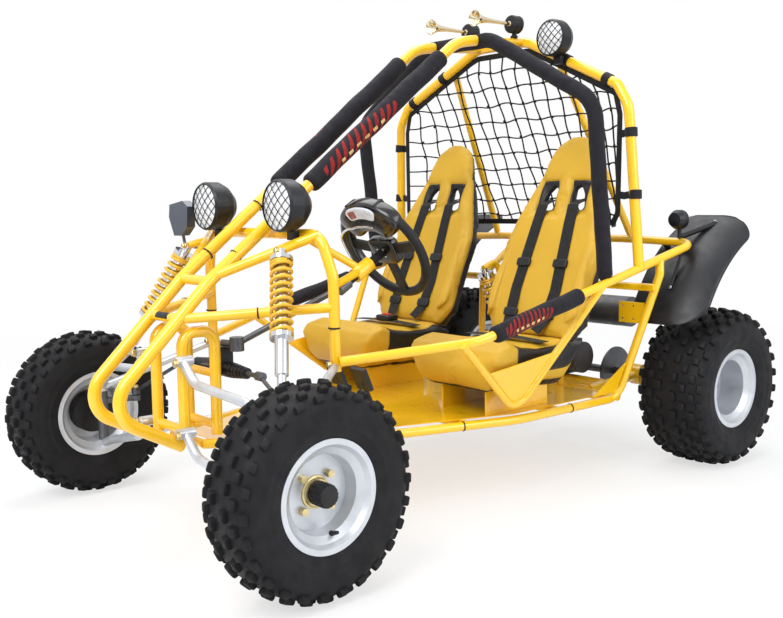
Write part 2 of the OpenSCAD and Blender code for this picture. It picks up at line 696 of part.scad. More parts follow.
// Free way between pieces that move past each other
move_gap = 6;
boot_end = bar_half - collar_half - bar_travel - move_gap;
boot_start = 60;
boot_folds = 5;
boot_fold = (boot_end - boot_start) / boot_folds;
tie_tip = at(king_x - 20, steer_arm, 334);
module steering_rack() {
    color([0.12, 0.12, 0.13]) translate(at(0, rack.y, rack.z)) rotate([0, 90, 0]) difference() {
        union() {
            cylinder(d = 46, h = 2 * boot_start, center = true);
            for (s = sides) for (i = [0 : boot_folds - 1])
                translate([0, 0, s * (boot_start + (i + 0.5) * boot_fold)])
                    cylinder(d = 44 - i * 3, h = boot_fold, center = true);
            translate([-34, 0, 0]) cube([60, 40, 70], center = true);
            translate([0, -33, 0]) cube([28,
                rack.y - upright_y[1] - rail_tube_d / 2 + 2 - weld_gap - 12, 70], center = true);
        }
        cylinder(d = bar_d + 2 * run_gap, h = 2 * boot_end + 40, center = true);
    }
}
module tie_rods() {
    color([0.3, 0.31, 0.33]) {
        rod(at(-bar_half, rack.y, rack.z), at(bar_half, rack.y, rack.z), bar_d);
        for (s = sides) {
            rod(side(at(bar_half - collar_half, rack.y, rack.z), s),
                side(at(bar_half + collar_half, rack.y, rack.z), s), 26);
            rod(side(at(bar_half, rack.y, rack.z), s), side(tie_tip, s), 12);
            translate(side(tie_tip, s)) cylinder(d = 28, h = 20, center = true);
        }
    }
}
hub_at = [270, 548, 806];
column_dir = [0, cos(column_rise), sin(column_rise)];
column_len = 170;
column_d = 26;
bearing_d = 44;
stay_tube_d = 22;
joint_low = at(70, 150, 545);
module steering_wheel() {
    color([0.06, 0.06, 0.07]) translate(at(hub_at.x, hub_at.y, hub_at.z)) rotate([column_rise - 90, 0,
        0]) {
        rotate_extrude() translate([wheel_rim_d / 2 - 14, 0]) circle(d = 28);
        cylinder(d = 84, h = 30, center = true);
        for (a = [-8, 90, 188]) rotate(a) translate([30, -15, -7]) cube([wheel_rim_d / 2 - 40, 30, 12]);
        translate([0, 44 - wheel_rim_d / 2, -20]) linear_extrude(38) polygon([[-84, 22], [84, 22],
            [66, -42], [-66, -42]]);
        translate([0, 0, -column_len]) cylinder(d = column_d, h = column_len - 8);
    }
}
column_end = at(hub_at.x, hub_at.y, hub_at.z) - column_dir * column_len;
module steering_shaft() {
    color([0.15, 0.15, 0.16]) {
        rod(column_end - column_dir * weld_gap, column_end - column_dir * 40, 38);
        rod(column_end - column_dir * 22, joint_low, 18);
        translate(joint_low) cylinder(d = 42, h = 40, center = true);
        rod(joint_low, at(10, rack.y, rack.z + 75), 20);
    }
}

// Pedals on the floor in front of the driver
module pedals() {
    color(foam_black) {
        translate(at(250, 470, floor_z + rail_tube_d / 2 + floor_t + 2 * weld_gap + 28)) cube([190,
            60, 56], center = true);
        for (x = [190, 310]) {
            rod(at(x, 470, 320), at(x, 420, 430), 14);
            translate(at(x, 416, 440)) rotate([24, 0, 0]) cube([62, 12, 70], center = true);
        }
    }
}

// Engine, muffler and tank behind the seats
engine_y = 1566;
swing_tube_d = 32;
engine_z = floor_z + swing_tube_d / 2 + weld_gap;
barrel_low = at(0, engine_y + 60, engine_z + 129);
barrel_high = barrel_low + [0, -sin(18), cos(18)] * 130;
barrel_d = 118;
fin_count = 8;
fin_reach = 12;
fin_t = 5;
module engine() {
    color([0.2, 0.2, 0.21]) translate(at(0, engine_y, engine_z)) {
        translate([-90, 0, 0]) cube([190, 130, 130]);
        translate([98, 62, 68]) rotate([0, 90, 0]) cylinder(d = 120, h = 62);
    }
    color([0.2, 0.2, 0.21]) {
        rod(barrel_low, barrel_high, barrel_d - 2 * fin_reach);
        for (i = [0 : fin_count - 1]) let (p = barrel_low + (barrel_high - barrel_low) * (0.3 + 0.66 * i / fin_count))
            rod(p, p + unit(barrel_high - barrel_low) * fin_t, barrel_d);
    }
}

// Chain from the engine's drive to the axle's sprocket, as a closed loop round both
chain_w = 9;
chain_t = 12;
sprocket_d = 210;
sprocket_x = -150;
drive_d = 64;
chain_gap = 6;
chain_steps = 24;
module chain_outline(extra) {
    far = [rear_axle_y - front_axle_y - engine_y - 90, rear_axle_z - engine_z - 66];
    a = atan2(far.y, far.x);
    r = [drive_d / 2 + extra, sprocket_d / 2 + extra];
    wrap = acos((r[0] - r[1]) / norm(far));
    polygon([for (end = [0, 1]) let (from = end == 1 ? a - wrap : a + wrap,
        sweep = end == 1 ? 2 * wrap : 360 - 2 * wrap)
        for (i = [0 : chain_steps]) let (q = from + sweep * i / chain_steps)
        far * end + r[end] * [cos(q), sin(q)]]);
}
module chain() {
    color([0.3, 0.3, 0.31]) translate(at(sprocket_x, engine_y + 90, engine_z + 66)) rotate([90, 0, 90])
        linear_extrude(chain_w) difference() {
            chain_outline(chain_gap + chain_t);
            chain_outline(chain_gap);
        }
    color([0.3, 0.3, 0.31]) translate(at(sprocket_x, engine_y + 90, engine_z + 66)) rotate([0, 90, 0]) {
        cylinder(d = drive_d + 2 * chain_gap - 2 * weld_gap, h = chain_w);
        cylinder(d = 30, h = -90 - sprocket_x - weld_gap);
    }
}
module muffler() {
    color([0.16, 0.16, 0.17]) {
        rod(at(-240, 1905, 500), at(180, 1905, 500), 120);
        difference() {
            bent_tube([at(0, 1600, 500), at(0, 1760, 500), at(0, 1860, 506)], [300], 36);
            rod(barrel_low, barrel_high, barrel_d + 2 * weld_gap);
        }
    }
}
module fuel_tank() {
    color([0.1, 0.11, 0.13]) translate(at(-80, 1452 + (rail_tube_d - 2) / 2 + weld_gap, 628))
        cube([260, 150, 135]);
}

// Rear swing arm that carries the live axle
axle_d = 30;
bearing_x = 300;
swing_cross_y = [1480, 1524, 1614];
module swing_arm() {
    color(steel_yellow) difference() {
        union() {
            for (y = swing_cross_y) rod(at(-bearing_x, y, floor_z), at(bearing_x, y, floor_z),
                swing_tube_d);
            for (s = sides) {
                rod(side(at(bearing_x, 1480, floor_z), s), side([bearing_x, rear_axle_y, rear_axle_z],
                    s), 36);
                translate(side([bearing_x, rear_axle_y, rear_axle_z], s)) rotate([0, 90, 0])
                    cylinder(d = 78, h = 44, center = true);
                rod(side(at(strut_x, 1524, floor_z), s), side(along(rear_strut, 1), s), 28);
            }
        }
        translate([0, rear_axle_y, rear_axle_z]) rotate([0, 90, 0])
            cylinder(d = axle_d + 2 * run_gap, h = 900, center = true);
        for (s = sides) rod(side(along(rear_strut, 0.5), s), side(along(rear_strut, 1.01), s),
            strut_eye_d - 2 + 2 * weld_gap);
    }
}

// Front knuckles
spindle_d = 24;
module knuckle(s) {
    color([0.32, 0.33, 0.35]) mirror([s < 0 ? 1 : 0, 0, 0]) {
        rod(at(king_x, 0, lower_z + boss_h / 2 + weld_gap), at(king_x, 0,
            upper_z - boss_h / 2 - weld_gap), 34);
        rod(at(king_x, 0, lower_z - boss_h / 2), at(king_x, 0, upper_z + boss_h / 2), stud_d);
        rod(at(king_x, 0, front_axle_z), at(front_track / 2 + 60, 0, front_axle_z), spindle_d);
        rod(at(king_x, 0, 312), at(tie_tip.x, steer_arm, 312), 20);
        translate(at(tie_tip.x, steer_arm, 311)) cylinder(d = 28, h = 18, center = true);
    }
}
module knuckle_left() { knuckle(1); }
module knuckle_right() { knuckle(-1); }

// Rims: half-width of the barrel, disc place, bore
rim_t = 5;
function rim_profile(half, disc, bore_r) = [[bore_r, disc - 4], [92, disc - 4], [98, -half + 26],
    [rim_d / 2 - 12, -half + 12], [rim_d / 2 - 3, -half], [rim_d / 2 + 11, -half], [rim_d / 2 + 11,
        -half + 5],
    [rim_d / 2, -half + 8], [rim_d / 2, -half + 26], [104, -half + 36], [104, half - 36], [rim_d / 2,
        half - 26],
    [rim_d / 2, half - 8], [rim_d / 2 + 11, half - 5], [rim_d / 2 + 11, half], [rim_d / 2 - 3, half],
    [rim_d / 2 - 12, half - 12], [98, half - 26], [92, disc + 4], [bore_r, disc + 4]];
module rim(half, disc, bore_r) {
    color(silver) rotate([0, 90, 0]) difference() {
        rotate_extrude($fn = 64) polygon(rim_profile(half, disc, bore_r));
        for (i = [0 : 3]) rotate(45 + 90 * i) translate([hub_bolt_circle / 2, 0, disc - 10])
            cylinder(d = wheel_stud_d + 2 * weld_gap, h = 20);
    }
}
hub_bore = 27;
wheel_stud_d = 10;
front_rim_half = 76;
rear_rim_half = 107;
module front_place(s) {
    translate([s * front_track / 2, front_axle_y, front_axle_z]) mirror([s < 0 ? 1 : 0, 0, 0]) children();
}
module front_rim_left() { front_place(1) rim(front_rim_half, 12, hub_bore + weld_gap); }
module front_rim_right() { front_place(-1) rim(front_rim_half, 12, hub_bore + weld_gap); }

// Tyres, out to the lugs' tips
lug_h = 12;
lug_root = 4;
lug_count = 28;
// Lug rows on each half of the tread: place and width as shares of the half width, length, shift in pitches
front_lugs = [[0.2, 0.27, 32, 0], [0.57, 0.27, 36, 0.5]];
rear_lugs = [[0.14, 0.19, 34, 0], [0.42, 0.2, 30, 0.5], [0.68, 0.2, 38, 0]];
module tyre(d, w, half, lugs) {
    r = d / 2;
    seat = rim_d / 2 + weld_gap;
    crown = w / 2 - 22;
    color([0.05, 0.05, 0.055]) rotate([0, 90, 0]) {
        rotate_extrude($fn = 96) polygon([[seat, 8 - half], [seat + 12, 6 - half], [r - 78, -w / 2],
            [r - 50, -w / 2],
            [r - 24, 6 - w / 2], [r - lug_h, -crown], [r - lug_h, crown], [r - 24, w / 2 - 6],
                [r - 50, w / 2],
            [r - 78, w / 2], [seat + 12, half - 6], [seat, half - 8], [seat, half - 26], [seat + 14,
                half - 26],
            [seat + 14, 26 - half], [seat, 26 - half]]);
        for (i = [0 : lug_count - 1]) for (k = lugs) for (m = sides)
            rotate((i + k[3] + (m > 0 ? 0 : 0.5)) * 360 / lug_count)
                translate([r - lug_h - lug_root, -k[2] / 2, m * k[0] * w / 2 - k[1] * w / 4])
                    cube([lug_tip(r, k[2]) - r + lug_h + lug_root, k[2], k[1] * w / 2]);
    }
}
// Height of a flat lug top whose edges reach the tyre's radius
function lug_tip(r, long) = sqrt(r * r - long * long / 4);
module front_tyre_left() { front_place(1) tyre(front_tyre_d, front_tyre_w, front_rim_half - 6,
    front_lugs); }
module front_tyre_right() { front_place(-1) tyre(front_tyre_d, front_tyre_w, front_rim_half - 6,
    front_lugs); }

// Front hubs with caps and wheel bolts
module front_hub(s) {
    color([0.08, 0.08, 0.09]) front_place(s) rotate([0, 90, 0]) difference() {
        union() {
            translate([0, 0, -34]) cylinder(r = hub_bore, h = 100);
            translate([0, 0, -34]) cylinder(d = hub_bolt_circle + 26, h = 34 + 12 - 4 - weld_gap);
            translate([0, 0, 66]) cylinder(d1 = 2 * hub_bore, d2 = 46, h = 8);
            for (i = [0 : 3]) rotate(45 + 90 * i) translate([hub_bolt_circle / 2, 0, 12 + 4 + weld_gap])
                cylinder(d = 20, h = 14, $fn = 6);
            for (i = [0 : 3]) rotate(45 + 90 * i) translate([hub_bolt_circle / 2, 0, 0])
                cylinder(d = wheel_stud_d, h = 24);
        }
        translate([0, 0, -40]) cylinder(d = spindle_d + 2 * run_gap, h = 101);
    }
}
module front_hub_left() { front_hub(1); }
module front_hub_right() { front_hub(-1); }

// Rear live axle with sprocket and brake disc
module rear_axle() {
    color([0.4, 0.41, 0.43]) translate([0, rear_axle_y, rear_axle_z]) rotate([0, 90, 0]) {
        cylinder(d = axle_d, h = rear_track + 60, center = true);
        translate([0, 0, sprocket_x]) cylinder(d = sprocket_d, h = 8);
        translate([0, 0, 190]) cylinder(d = 190, h = 5);
        for (s = sides) translate([0, 0, s * (rear_track / 2 - 30)])
            cylinder(r = hub_bore, h = 90, center = true);
    }
}
module rear_rims() {
    for (s = sides) translate([s * rear_track / 2, rear_axle_y, rear_axle_z]) mirror([s < 0 ? 1 : 0,
        0, 0])
        rim(rear_rim_half, -8, hub_bore + weld_gap);
}
module rear_tyres() {
    for (s = sides) translate([s * rear_track / 2, rear_axle_y, rear_axle_z])
        tyre(rear_tyre_d, rear_tyre_w, rear_rim_half - 6, rear_lugs);
}

nose_frame();
dash_frame();
front_uprights();
floor_frame();
floor_pan();
side_bar_left();
side_bar_right();
front_hoop();
hoop_pad();
pillar_pads();
side_pads();
rear_hoop();
rear_frame();
safety_net();
seat_backs();
seat_cushions();
seat_feet();
harness();
lamp_housings();
lamp_lenses();
lamp_guards();
horns();
wing_mirror();
turn_signals();
turn_lenses();
fenders();
upper_arms();
lower_arms();
front_shocks();
front_springs();
rear_shocks();
rear_springs();
steering_rack();
steering_shaft();
steering_wheel();
tie_rods();
pedals();
engine();
chain();
muffler();
fuel_tank();
swing_arm();
knuckle_left();
knuckle_right();
front_rim_left();
front_rim_right();
front_tyre_left();
front_tyre_right();
front_hub_left();
front_hub_right();
rear_axle();
rear_rims();
rear_tyres();
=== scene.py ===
"""Dresses a packed two-seat off-road kart: finishes, knobbly tyres, seats, foam sleeves, net and harness."""

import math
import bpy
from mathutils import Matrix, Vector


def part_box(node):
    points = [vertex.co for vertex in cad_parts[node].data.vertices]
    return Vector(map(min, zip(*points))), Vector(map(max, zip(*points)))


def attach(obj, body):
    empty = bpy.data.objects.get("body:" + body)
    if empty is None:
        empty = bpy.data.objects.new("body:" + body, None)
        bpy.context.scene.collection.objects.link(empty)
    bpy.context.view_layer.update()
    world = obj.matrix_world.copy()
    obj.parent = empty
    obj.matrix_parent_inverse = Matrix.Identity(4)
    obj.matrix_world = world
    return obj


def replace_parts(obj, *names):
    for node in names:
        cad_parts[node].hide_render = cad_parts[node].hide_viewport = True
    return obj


bl_info = {
    "name": "Off-road kart dressing",
    "version": (1, 0, 0),
    "blender": (4, 5, 0),
    "location": "View3D > Sidebar > Kart",
    "description": "Builds the soft goods, tyres, fasteners and finishes of a tube-frame kart",
    "category": "Object",
}

import bmesh
import bpy
import numpy as np
from mathutils import Matrix

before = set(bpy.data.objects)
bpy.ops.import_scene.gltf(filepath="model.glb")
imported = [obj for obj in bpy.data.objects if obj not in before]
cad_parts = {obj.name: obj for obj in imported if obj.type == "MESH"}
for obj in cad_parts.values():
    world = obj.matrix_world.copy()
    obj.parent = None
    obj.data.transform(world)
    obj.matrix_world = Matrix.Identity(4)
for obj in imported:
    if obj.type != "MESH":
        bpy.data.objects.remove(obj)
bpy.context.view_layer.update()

# The photograph's camera in the row frame, metres and radians, and its focal length in pixels
CAMERA_AT = (2.4589, -2.2243, 0.9488)
CAMERA_YAW = -0.858
CAMERA_PITCH = -0.1107
CAMERA_ROLL = -0.0122
FOCAL_PX = 973.0
PHOTO_WIDTH_PX = 783.0
SENSOR_MM = 36.0

SIDES = (1, -1)
CHASSIS = "chassis"


def middle(node):
    """Middle of a CAD node's box."""
    low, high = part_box(node)
    return (np.array(low) + np.array(high)) / 2


def reach(node):
    """Size of a CAD node's box along X, Y and Z."""
    low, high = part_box(node)
    return np.array(high) - np.array(low)


FRONT_AXLE = middle("front_tyre_left")
REAR_AXLE = middle("rear_tyres")


def at(x, y, z):
    """A point given from the middle, behind the front axle and above the ground."""
    return np.array((x, FRONT_AXLE[1] + y, z))


def srgb(red, green, blue):
    """Linear colour of a screen colour given from 0 to 255."""
    c = np.array((red, green, blue)) / 255.0
    linear = np.where(c <= 0.04045, c / 12.92, ((c + 0.055) / 1.055) ** 2.4)
    return tuple(float(v) for v in linear)


def colour_prop(name, description, default):
    """A colour a user may change."""
    return bpy.props.FloatVectorProperty(
        name=name, description=description, default=default, size=3, subtype="COLOR", min=0.0, max=1.0
    )


def length_prop(name, description, default):
    """A length a user may change, in metres."""
    return bpy.props.FloatProperty(
        name=name, description=description, default=default, unit="LENGTH", min=0.0
    )


class KartColours(bpy.types.PropertyGroup):
    """Colours of the kart's finishes."""

    paint: colour_prop("Frame paint", "Gloss paint of the tube frame", srgb(250, 196, 18))
    vinyl: colour_prop("Seat vinyl", "Main panels of the seats", srgb(208, 165, 48))
    # the dark vinyl also fills the seat backs' belt slots as painted shade
    black_vinyl: colour_prop("Dark vinyl", "Side panels of the seats", srgb(26, 26, 30))
    foam: colour_prop("Foam sleeve", "Cloth of the foam sleeves", srgb(28, 27, 33))
    print_red: colour_prop("Sleeve bars", "Slanted bars printed on the sleeves", srgb(150, 34, 30))
    print_cream: colour_prop("Sleeve dashes", "Short dashes printed on the sleeves", srgb(226, 196, 130))
    silver: colour_prop("Silver paint", "Suspension arms and rims", srgb(196, 200, 206))
    spring: colour_prop("Spring coat", "Powder coat of the springs", srgb(226, 176, 34))
    rubber: colour_prop("Rubber", "Tyres and grips", srgb(13, 13, 16))
    plastic: colour_prop("Black plastic", "Mudguards, lamps and steering pod", srgb(16, 18, 24))
    zinc: colour_prop("Zinc", "Passivated nuts and flanges", srgb(208, 190, 140))
    engine: colour_prop("Engine metal", "Cast engine cases", srgb(92, 92, 95))
    amber: colour_prop("Amber", "Turn signal lenses", srgb(235, 128, 20))
    red: colour_prop("Red button", "Release button of the buckles", srgb(200, 30, 34))


class KartSizes(bpy.types.PropertyGroup):
    """Sizes of the pieces that the frame doesn't fix."""

    lug_height: length_prop("Lug height", "Depth of the tread", 0.013)
    rear_tyre_width: length_prop("Rear tyre width", "Across one rear tyre", 0.254)
    net_cell: length_prop("Net cell", "Side of one mesh of the net", 0.058)
    net_cord: length_prop("Net cord", "Thickness of the net's cord", 0.0058)
    belt_width: length_prop("Belt width", "Across the harness webbing", 0.046)
    belt_thick: length_prop("Belt thickness", "Through the harness webbing", 0.0024)
    foam_cell: length_prop("Foam cell", "Voxel of the seats' foam before it is blown up", 0.006)
    foam_swell: length_prop("Foam swell", "Most that the seats' foam stands proud", 0.009)


def colours():
    """The scene's kart colours."""
    return bpy.context.scene.kart_colours


def sizes():
    """The scene's kart sizes."""
    return bpy.context.scene.kart_sizes


# Meshes


def grid_faces(rows, columns, start):
    """Quads between neighbouring points of a grid of rows and columns that begins at point start."""
    r, c = np.meshgrid(np.arange(rows - 1), np.arange(columns - 1), indexing="ij")
    corner = start + r * columns + c
    return np.stack([corner, corner + 1, corner + columns + 1, corner + columns], -1).reshape(-1, 4)


def sheet(points, slot=0, uv=None):
    """A grid of points with its material slot and its UV, which runs from 0 to 1 both ways by default."""
    points = np.asarray(points, dtype=float)
    if uv is None:
        rows, columns = points.shape[:2]
        uv = np.stack(np.meshgrid(np.linspace(0, 1, rows), np.linspace(0, 1, columns), indexing="ij"), -1)
    return points, slot, uv


def piece(name, sheets, materials, body, crease=35.0):
    """One object made of several grids. Points that meet are merged, which closes seams and poles."""
    start = 0
    faces, slots, points, uvs = [], [], [], []
    for grid, slot, uv in sheets:
        quads = grid_faces(*grid.shape[:2], start)
        faces.append(quads)
        slots.append(np.full(len(quads), slot))
        points.append(grid.reshape(-1, 3))
        uvs.append(np.asarray(uv).reshape(-1, 2))
        start += len(points[-1])
    mesh = bpy.data.meshes.new(name)
    mesh.from_pydata(np.concatenate(points), [], np.concatenate(faces).tolist())
    corner = np.empty(len(mesh.loops), dtype=np.int32)
    mesh.loops.foreach_get("vertex_index", corner)
    mesh.uv_layers.new(name="UVMap").data.foreach_set("uv", np.concatenate(uvs)[corner].ravel())
    mesh.polygons.foreach_set("material_index", np.concatenate(slots).astype(np.int32))
    for material in materials:
        mesh.materials.append(material)
    close(mesh, crease)
    obj = bpy.data.objects.new(name, mesh)
    bpy.context.scene.collection.objects.link(obj)
    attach(obj, body)
    return obj


def close(mesh, crease):
    """Merges points that meet, turns the faces outwards and keeps edges sharper than the crease angle."""
    work = bmesh.new()
    work.from_mesh(mesh)
    bmesh.ops.remove_doubles(work, verts=work.verts, dist=1e-6)
    bmesh.ops.dissolve_degenerate(work, edges=work.edges, dist=1e-7)
    bmesh.ops.recalc_face_normals(work, faces=work.faces)
    work.to_mesh(mesh)
    work.free()
    mesh.polygons.foreach_set("use_smooth", np.ones(len(mesh.polygons), dtype=bool))
    mesh.set_sharp_from_angle(angle=math.radians(crease))
    mesh.update()


def coordinates(mesh):
    """All the mesh's points as one array."""
    flat = np.empty(len(mesh.vertices) * 3, dtype=np.float32)
    mesh.vertices.foreach_get("co", flat)
    return flat.reshape(-1, 3).astype(float)


def attribute(mesh, name, values):
    """Keeps one number for each point, for a material to read."""
    layer = mesh.attributes.new(name, "FLOAT", "POINT")
    layer.data.foreach_set("value", np.asarray(values, dtype=np.float32))


def normalise(v):
    """Vectors of length one."""
    return v / np.maximum(np.linalg.norm(v, axis=-1, keepdims=True), 1e-12)


def rounded_path(points, radii, steps=10):
    """A line through points whose inner corners are arcs of the given radii."""
    points = [np.asarray(p, dtype=float) for p in points]
    line = [points[0][None]]
    for before, corner, after, radius in zip(points, points[1:], points[2:], radii):
        u, w = normalise(corner - before), normalise(after - corner)
        turn = math.acos(float(np.clip(u @ w, -1, 1)))
        trim = radius * math.tan(turn / 2)
        inward = normalise(w - u * (u @ w))
        q = np.linspace(0, turn, steps)[:, None]
        line.append(corner - u * trim + radius * (u * np.sin(q) + inward * (1 - np.cos(q))))
    line.append(points[-1][None])
    return np.concatenate(line)


def even(path, count):
    """The same line with its points at even distances."""
    run = np.concatenate([[0], np.cumsum(np.linalg.norm(np.diff(path, axis=0), axis=1))])
    spot = np.linspace(0, run[-1], count)
    return np.stack([np.interp(spot, run, path[:, k]) for k in range(3)], -1)


def carried(path, across, profile):
    """A closed profile carried along a path. Its first number goes along the across direction, its second
    at right angles to that and to the path. The profile is (points, 2), or (path points, points, 2) where
    it changes."""
    tangent = normalise(np.gradient(path, axis=0))
    side = normalise(across - tangent * np.sum(tangent * across, -1, keepdims=True))
    out = np.cross(tangent, side)
    profile = np.broadcast_to(profile, (len(path),) + np.shape(profile)[-2:])
    return path[:, None] + profile[..., :1] * side[:, None] + profile[..., 1:] * out[:, None]


def circle(count):
    """Points round a circle of radius one, the first repeated at the end."""
    q = np.linspace(0, 2 * math.pi, count + 1)
    return np.stack([np.cos(q), np.sin(q)], -1)


def tube(path, radius, across=(0.31, 0.22, 0.92), sides=8, capped=True):
    """A round section carried along a path, drawn in to a point at both ends. The radius may change."""
    path = np.asarray(path, dtype=float)
    radius = np.broadcast_to(radius, len(path)).astype(float)
    if capped:
        path = np.concatenate([path[:1], path, path[-1:]])
        radius = np.concatenate([[0.0], radius, [0.0]])
    line = path.copy()
    line[0] += (path[1] - path[2]) * 1e-3 if capped else 0
    line[-1] += (path[-2] - path[-3]) * 1e-3 if capped else 0
    return carried(line, np.array(across), circle(sides) * radius[:, None, None])


def band(path, across, width, thick):
    """A flat strap with rounded edges carried along a path, its width lying along the across direction."""
    q = circle(12)
    power = np.sign(q) * np.abs(q) ** np.array((0.35, 0.6))
    grid = carried(np.asarray(path, dtype=float), across, power * np.array((width / 2, thick / 2)))
    ends = [grid[:1].mean(axis=1, keepdims=True).repeat(grid.shape[1], 1) for grid in (grid[:1], grid[-1:])]
    return np.concatenate([ends[0], grid, ends[1]])


def turned(profile, axis_point, axis, count=48):
    """A profile of (distance out, distance along) turned about an axis."""
    axis = normalise(np.asarray(axis, dtype=float))
    helper = np.array((0.0, 0.0, 1.0)) if abs(axis[2]) < 0.9 else np.array((0.0, 1.0, 0.0))
    side = normalise(np.cross(axis, helper))
    other = np.cross(axis, side)
    q = circle(count)
    spoke = q[:, :1] * side + q[:, 1:] * other
    profile = np.asarray(profile, dtype=float)
    return np.asarray(axis_point) + profile[:, None, :1] * spoke[None] + profile[:, None, 1:] * axis


# Rings of a hexagon head on its washer: radius over half the flats, height over the head's height
HEX_RINGS = (
    (0.0, 0.0),
    (1.55, 0.0),
    (1.55, 0.12),
    (1.15, 0.14),
    (1.15, 0.86),
    (0.98, 1.0),
    (0.0, 1.0),
)


def hex_heads(places, axes, flats, height):
    """Hexagon heads with chamfered tops, one at each place along its axis: rings of six corners that draw in
    to a point on the top. All heads are worked out at once."""
    places, axes = np.asarray(places, dtype=float), normalise(np.asarray(axes, dtype=float))
    helper = np.where(np.abs(axes[:, 2:]) < 0.9, np.array((0.0, 0.0, 1.0)), np.array((0.0, 1.0, 0.0)))
    side = normalise(np.cross(axes, helper))
    other = np.cross(axes, side)
    rings = np.array(HEX_RINGS)
    corner = circle(6)
    spoke = corner[None, :, :1] * side[:, None] + corner[None, :, 1:] * other[:, None]
    out = rings[:, 0] * flats / 2
    grids = places[:, None, None] + out[None, :, None, None] * spoke[:, None]
    return list(grids + (rings[:, 1] * height)[None, :, None, None] * axes[:, None, None])


# Finishes


class Finish:
    """A node-based material on object coordinates, built from a few named layers."""

    def __init__(self, name, rough=0.5, metal=0.0, coat=0.0, sheen=0.0, shine=0.5):
        self.material = bpy.data.materials.new(name)
        self.material.use_nodes = True
        self.tree = self.material.node_tree
        self.shader = self.tree.nodes["Principled BSDF"]
        self.shader.inputs["Metallic"].default_value = metal
        self.shader.inputs["Roughness"].default_value = rough
        self.shader.inputs["Coat Weight"].default_value = coat
        self.shader.inputs["Coat Roughness"].default_value = 0.08
        self.shader.inputs["Sheen Weight"].default_value = sheen
        self.shader.inputs["Specular IOR Level"].default_value = shine
        self.place = self.tree.nodes.new("ShaderNodeTexCoord")
        self.normal = None

    def link(self, source, target):
        """Joins an output to an input."""
        self.tree.links.new(source, target)
        return target

    def math(self, operation, first, second=0.0, third=0.0):
        """A sum of sockets or numbers."""
        node = self.tree.nodes.new("ShaderNodeMath")
        node.operation = operation
        for socket, value in zip(node.inputs, (first, second, third)):
            if isinstance(value, (int, float)):
                socket.default_value = value
            else:
                self.link(value, socket)
        return node.outputs[0]

    def noise(self, scale, detail=3.0, source="Object"):
        """Cloudy noise."""
        node = self.tree.nodes.new("ShaderNodeTexNoise")
        node.inputs["Scale"].default_value = scale
        node.inputs["Detail"].default_value = detail
        self.link(self.place.outputs[source], node.inputs["Vector"])
        return node.outputs["Fac"]

    def cells(self, scale, source="Object"):
        """Distance inside rounded cells, as in leather grain."""
        node = self.tree.nodes.new("ShaderNodeTexVoronoi")
        node.feature = "SMOOTH_F1"
        node.inputs["Scale"].default_value = scale
        self.link(self.place.outputs[source], node.inputs["Vector"])
        return node.outputs["Distance"]

    def bands(self, scale, turn=(0.0, 0.0, 0.0), source="UV", stretch=(1.0, 1.0, 1.0), profile="SIN"):
        """Even bands across a turned and stretched pattern space."""
        mapping = self.tree.nodes.new("ShaderNodeMapping")
        mapping.inputs["Rotation"].default_value = turn
        mapping.inputs["Scale"].default_value = stretch
        self.link(self.place.outputs[source], mapping.inputs["Vector"])
        node = self.tree.nodes.new("ShaderNodeTexWave")
        node.wave_profile = profile
        node.inputs["Scale"].default_value = scale
        self.link(mapping.outputs["Vector"], node.inputs["Vector"])
        return node.outputs["Fac"]

    def spread(self, value, low, high, to_low=0.0, to_high=1.0):
        """Stretches a value between two limits."""
        node = self.tree.nodes.new("ShaderNodeMapRange")
        node.inputs["From Min"].default_value = low
        node.inputs["From Max"].default_value = high
        node.inputs["To Min"].default_value = to_low
        node.inputs["To Max"].default_value = to_high
        self.link(value, node.inputs["Value"])
        return node.outputs["Result"]

    def number(self, name):
        """One of the mesh's own numbers."""
        node = self.tree.nodes.new("ShaderNodeAttribute")
        node.attribute_name = name
        return node.outputs["Fac"]

    def mix(self, factor, first, second):
        """One colour over another."""
        node = self.tree.nodes.new("ShaderNodeMix")
        node.data_type = "RGBA"
        self.link(factor, node.inputs["Factor"])
        for socket, colour in ((node.inputs["A"], first), (node.inputs["B"], second)):
            if hasattr(colour, "is_linked"):
                self.link(colour, socket)
            else:
                socket.default_value = (*colour, 1.0)
        return node.outputs["Result"]

    def paint(self, colour):
        """Sets what the shader shows."""
        self.link(colour, self.shader.inputs["Base Color"])
        return self

    def mottled(self, colour, scale, amount):
        """A colour that wanders a little darker and lighter."""
        dark = tuple(c * (1 - amount) for c in colour)
        light = tuple(min(1.0, c * (1 + amount)) for c in colour)
        return self.mix(self.spread(self.noise(scale), 0.3, 0.7), dark, light)

    def worn(self, scale, low, high):
        """Roughness that wanders between two values."""
        self.link(self.spread(self.noise(scale, 4.0), 0.3, 0.7, low, high), self.shader.inputs["Roughness"])
        return self

    def relief(self, height, depth):
        """A fine bump of that depth in metres, over any bump already there."""
        node = self.tree.nodes.new("ShaderNodeBump")
        node.inputs["Distance"].default_value = depth
        node.inputs["Strength"].default_value = 1.0
        self.link(height, node.inputs["Height"])
        if self.normal is not None:
            self.link(self.normal, node.inputs["Normal"])
        self.normal = node.outputs["Normal"]
        self.link(self.normal, self.shader.inputs["Normal"])
        return self


MATERIALS = {}


def plain_finish(
    name, colour, rough, metal=0.0, coat=0.0, mottle=(14.0, 0.05), grain=(900.0, 0.00004), shine=0.5
):
    """Paint, plating or moulding: a mottled colour, wandering gloss and a fine grain."""
    finish = Finish(name, rough, metal, coat, shine=shine)
    finish.paint(finish.mottled(colour, *mottle))
    finish.worn(mottle[0] * 2, rough * 0.8, min(1.0, rough * 1.25))
    finish.relief(finish.noise(grain[0]), grain[1])
    MATERIALS[name] = finish.material
    return finish


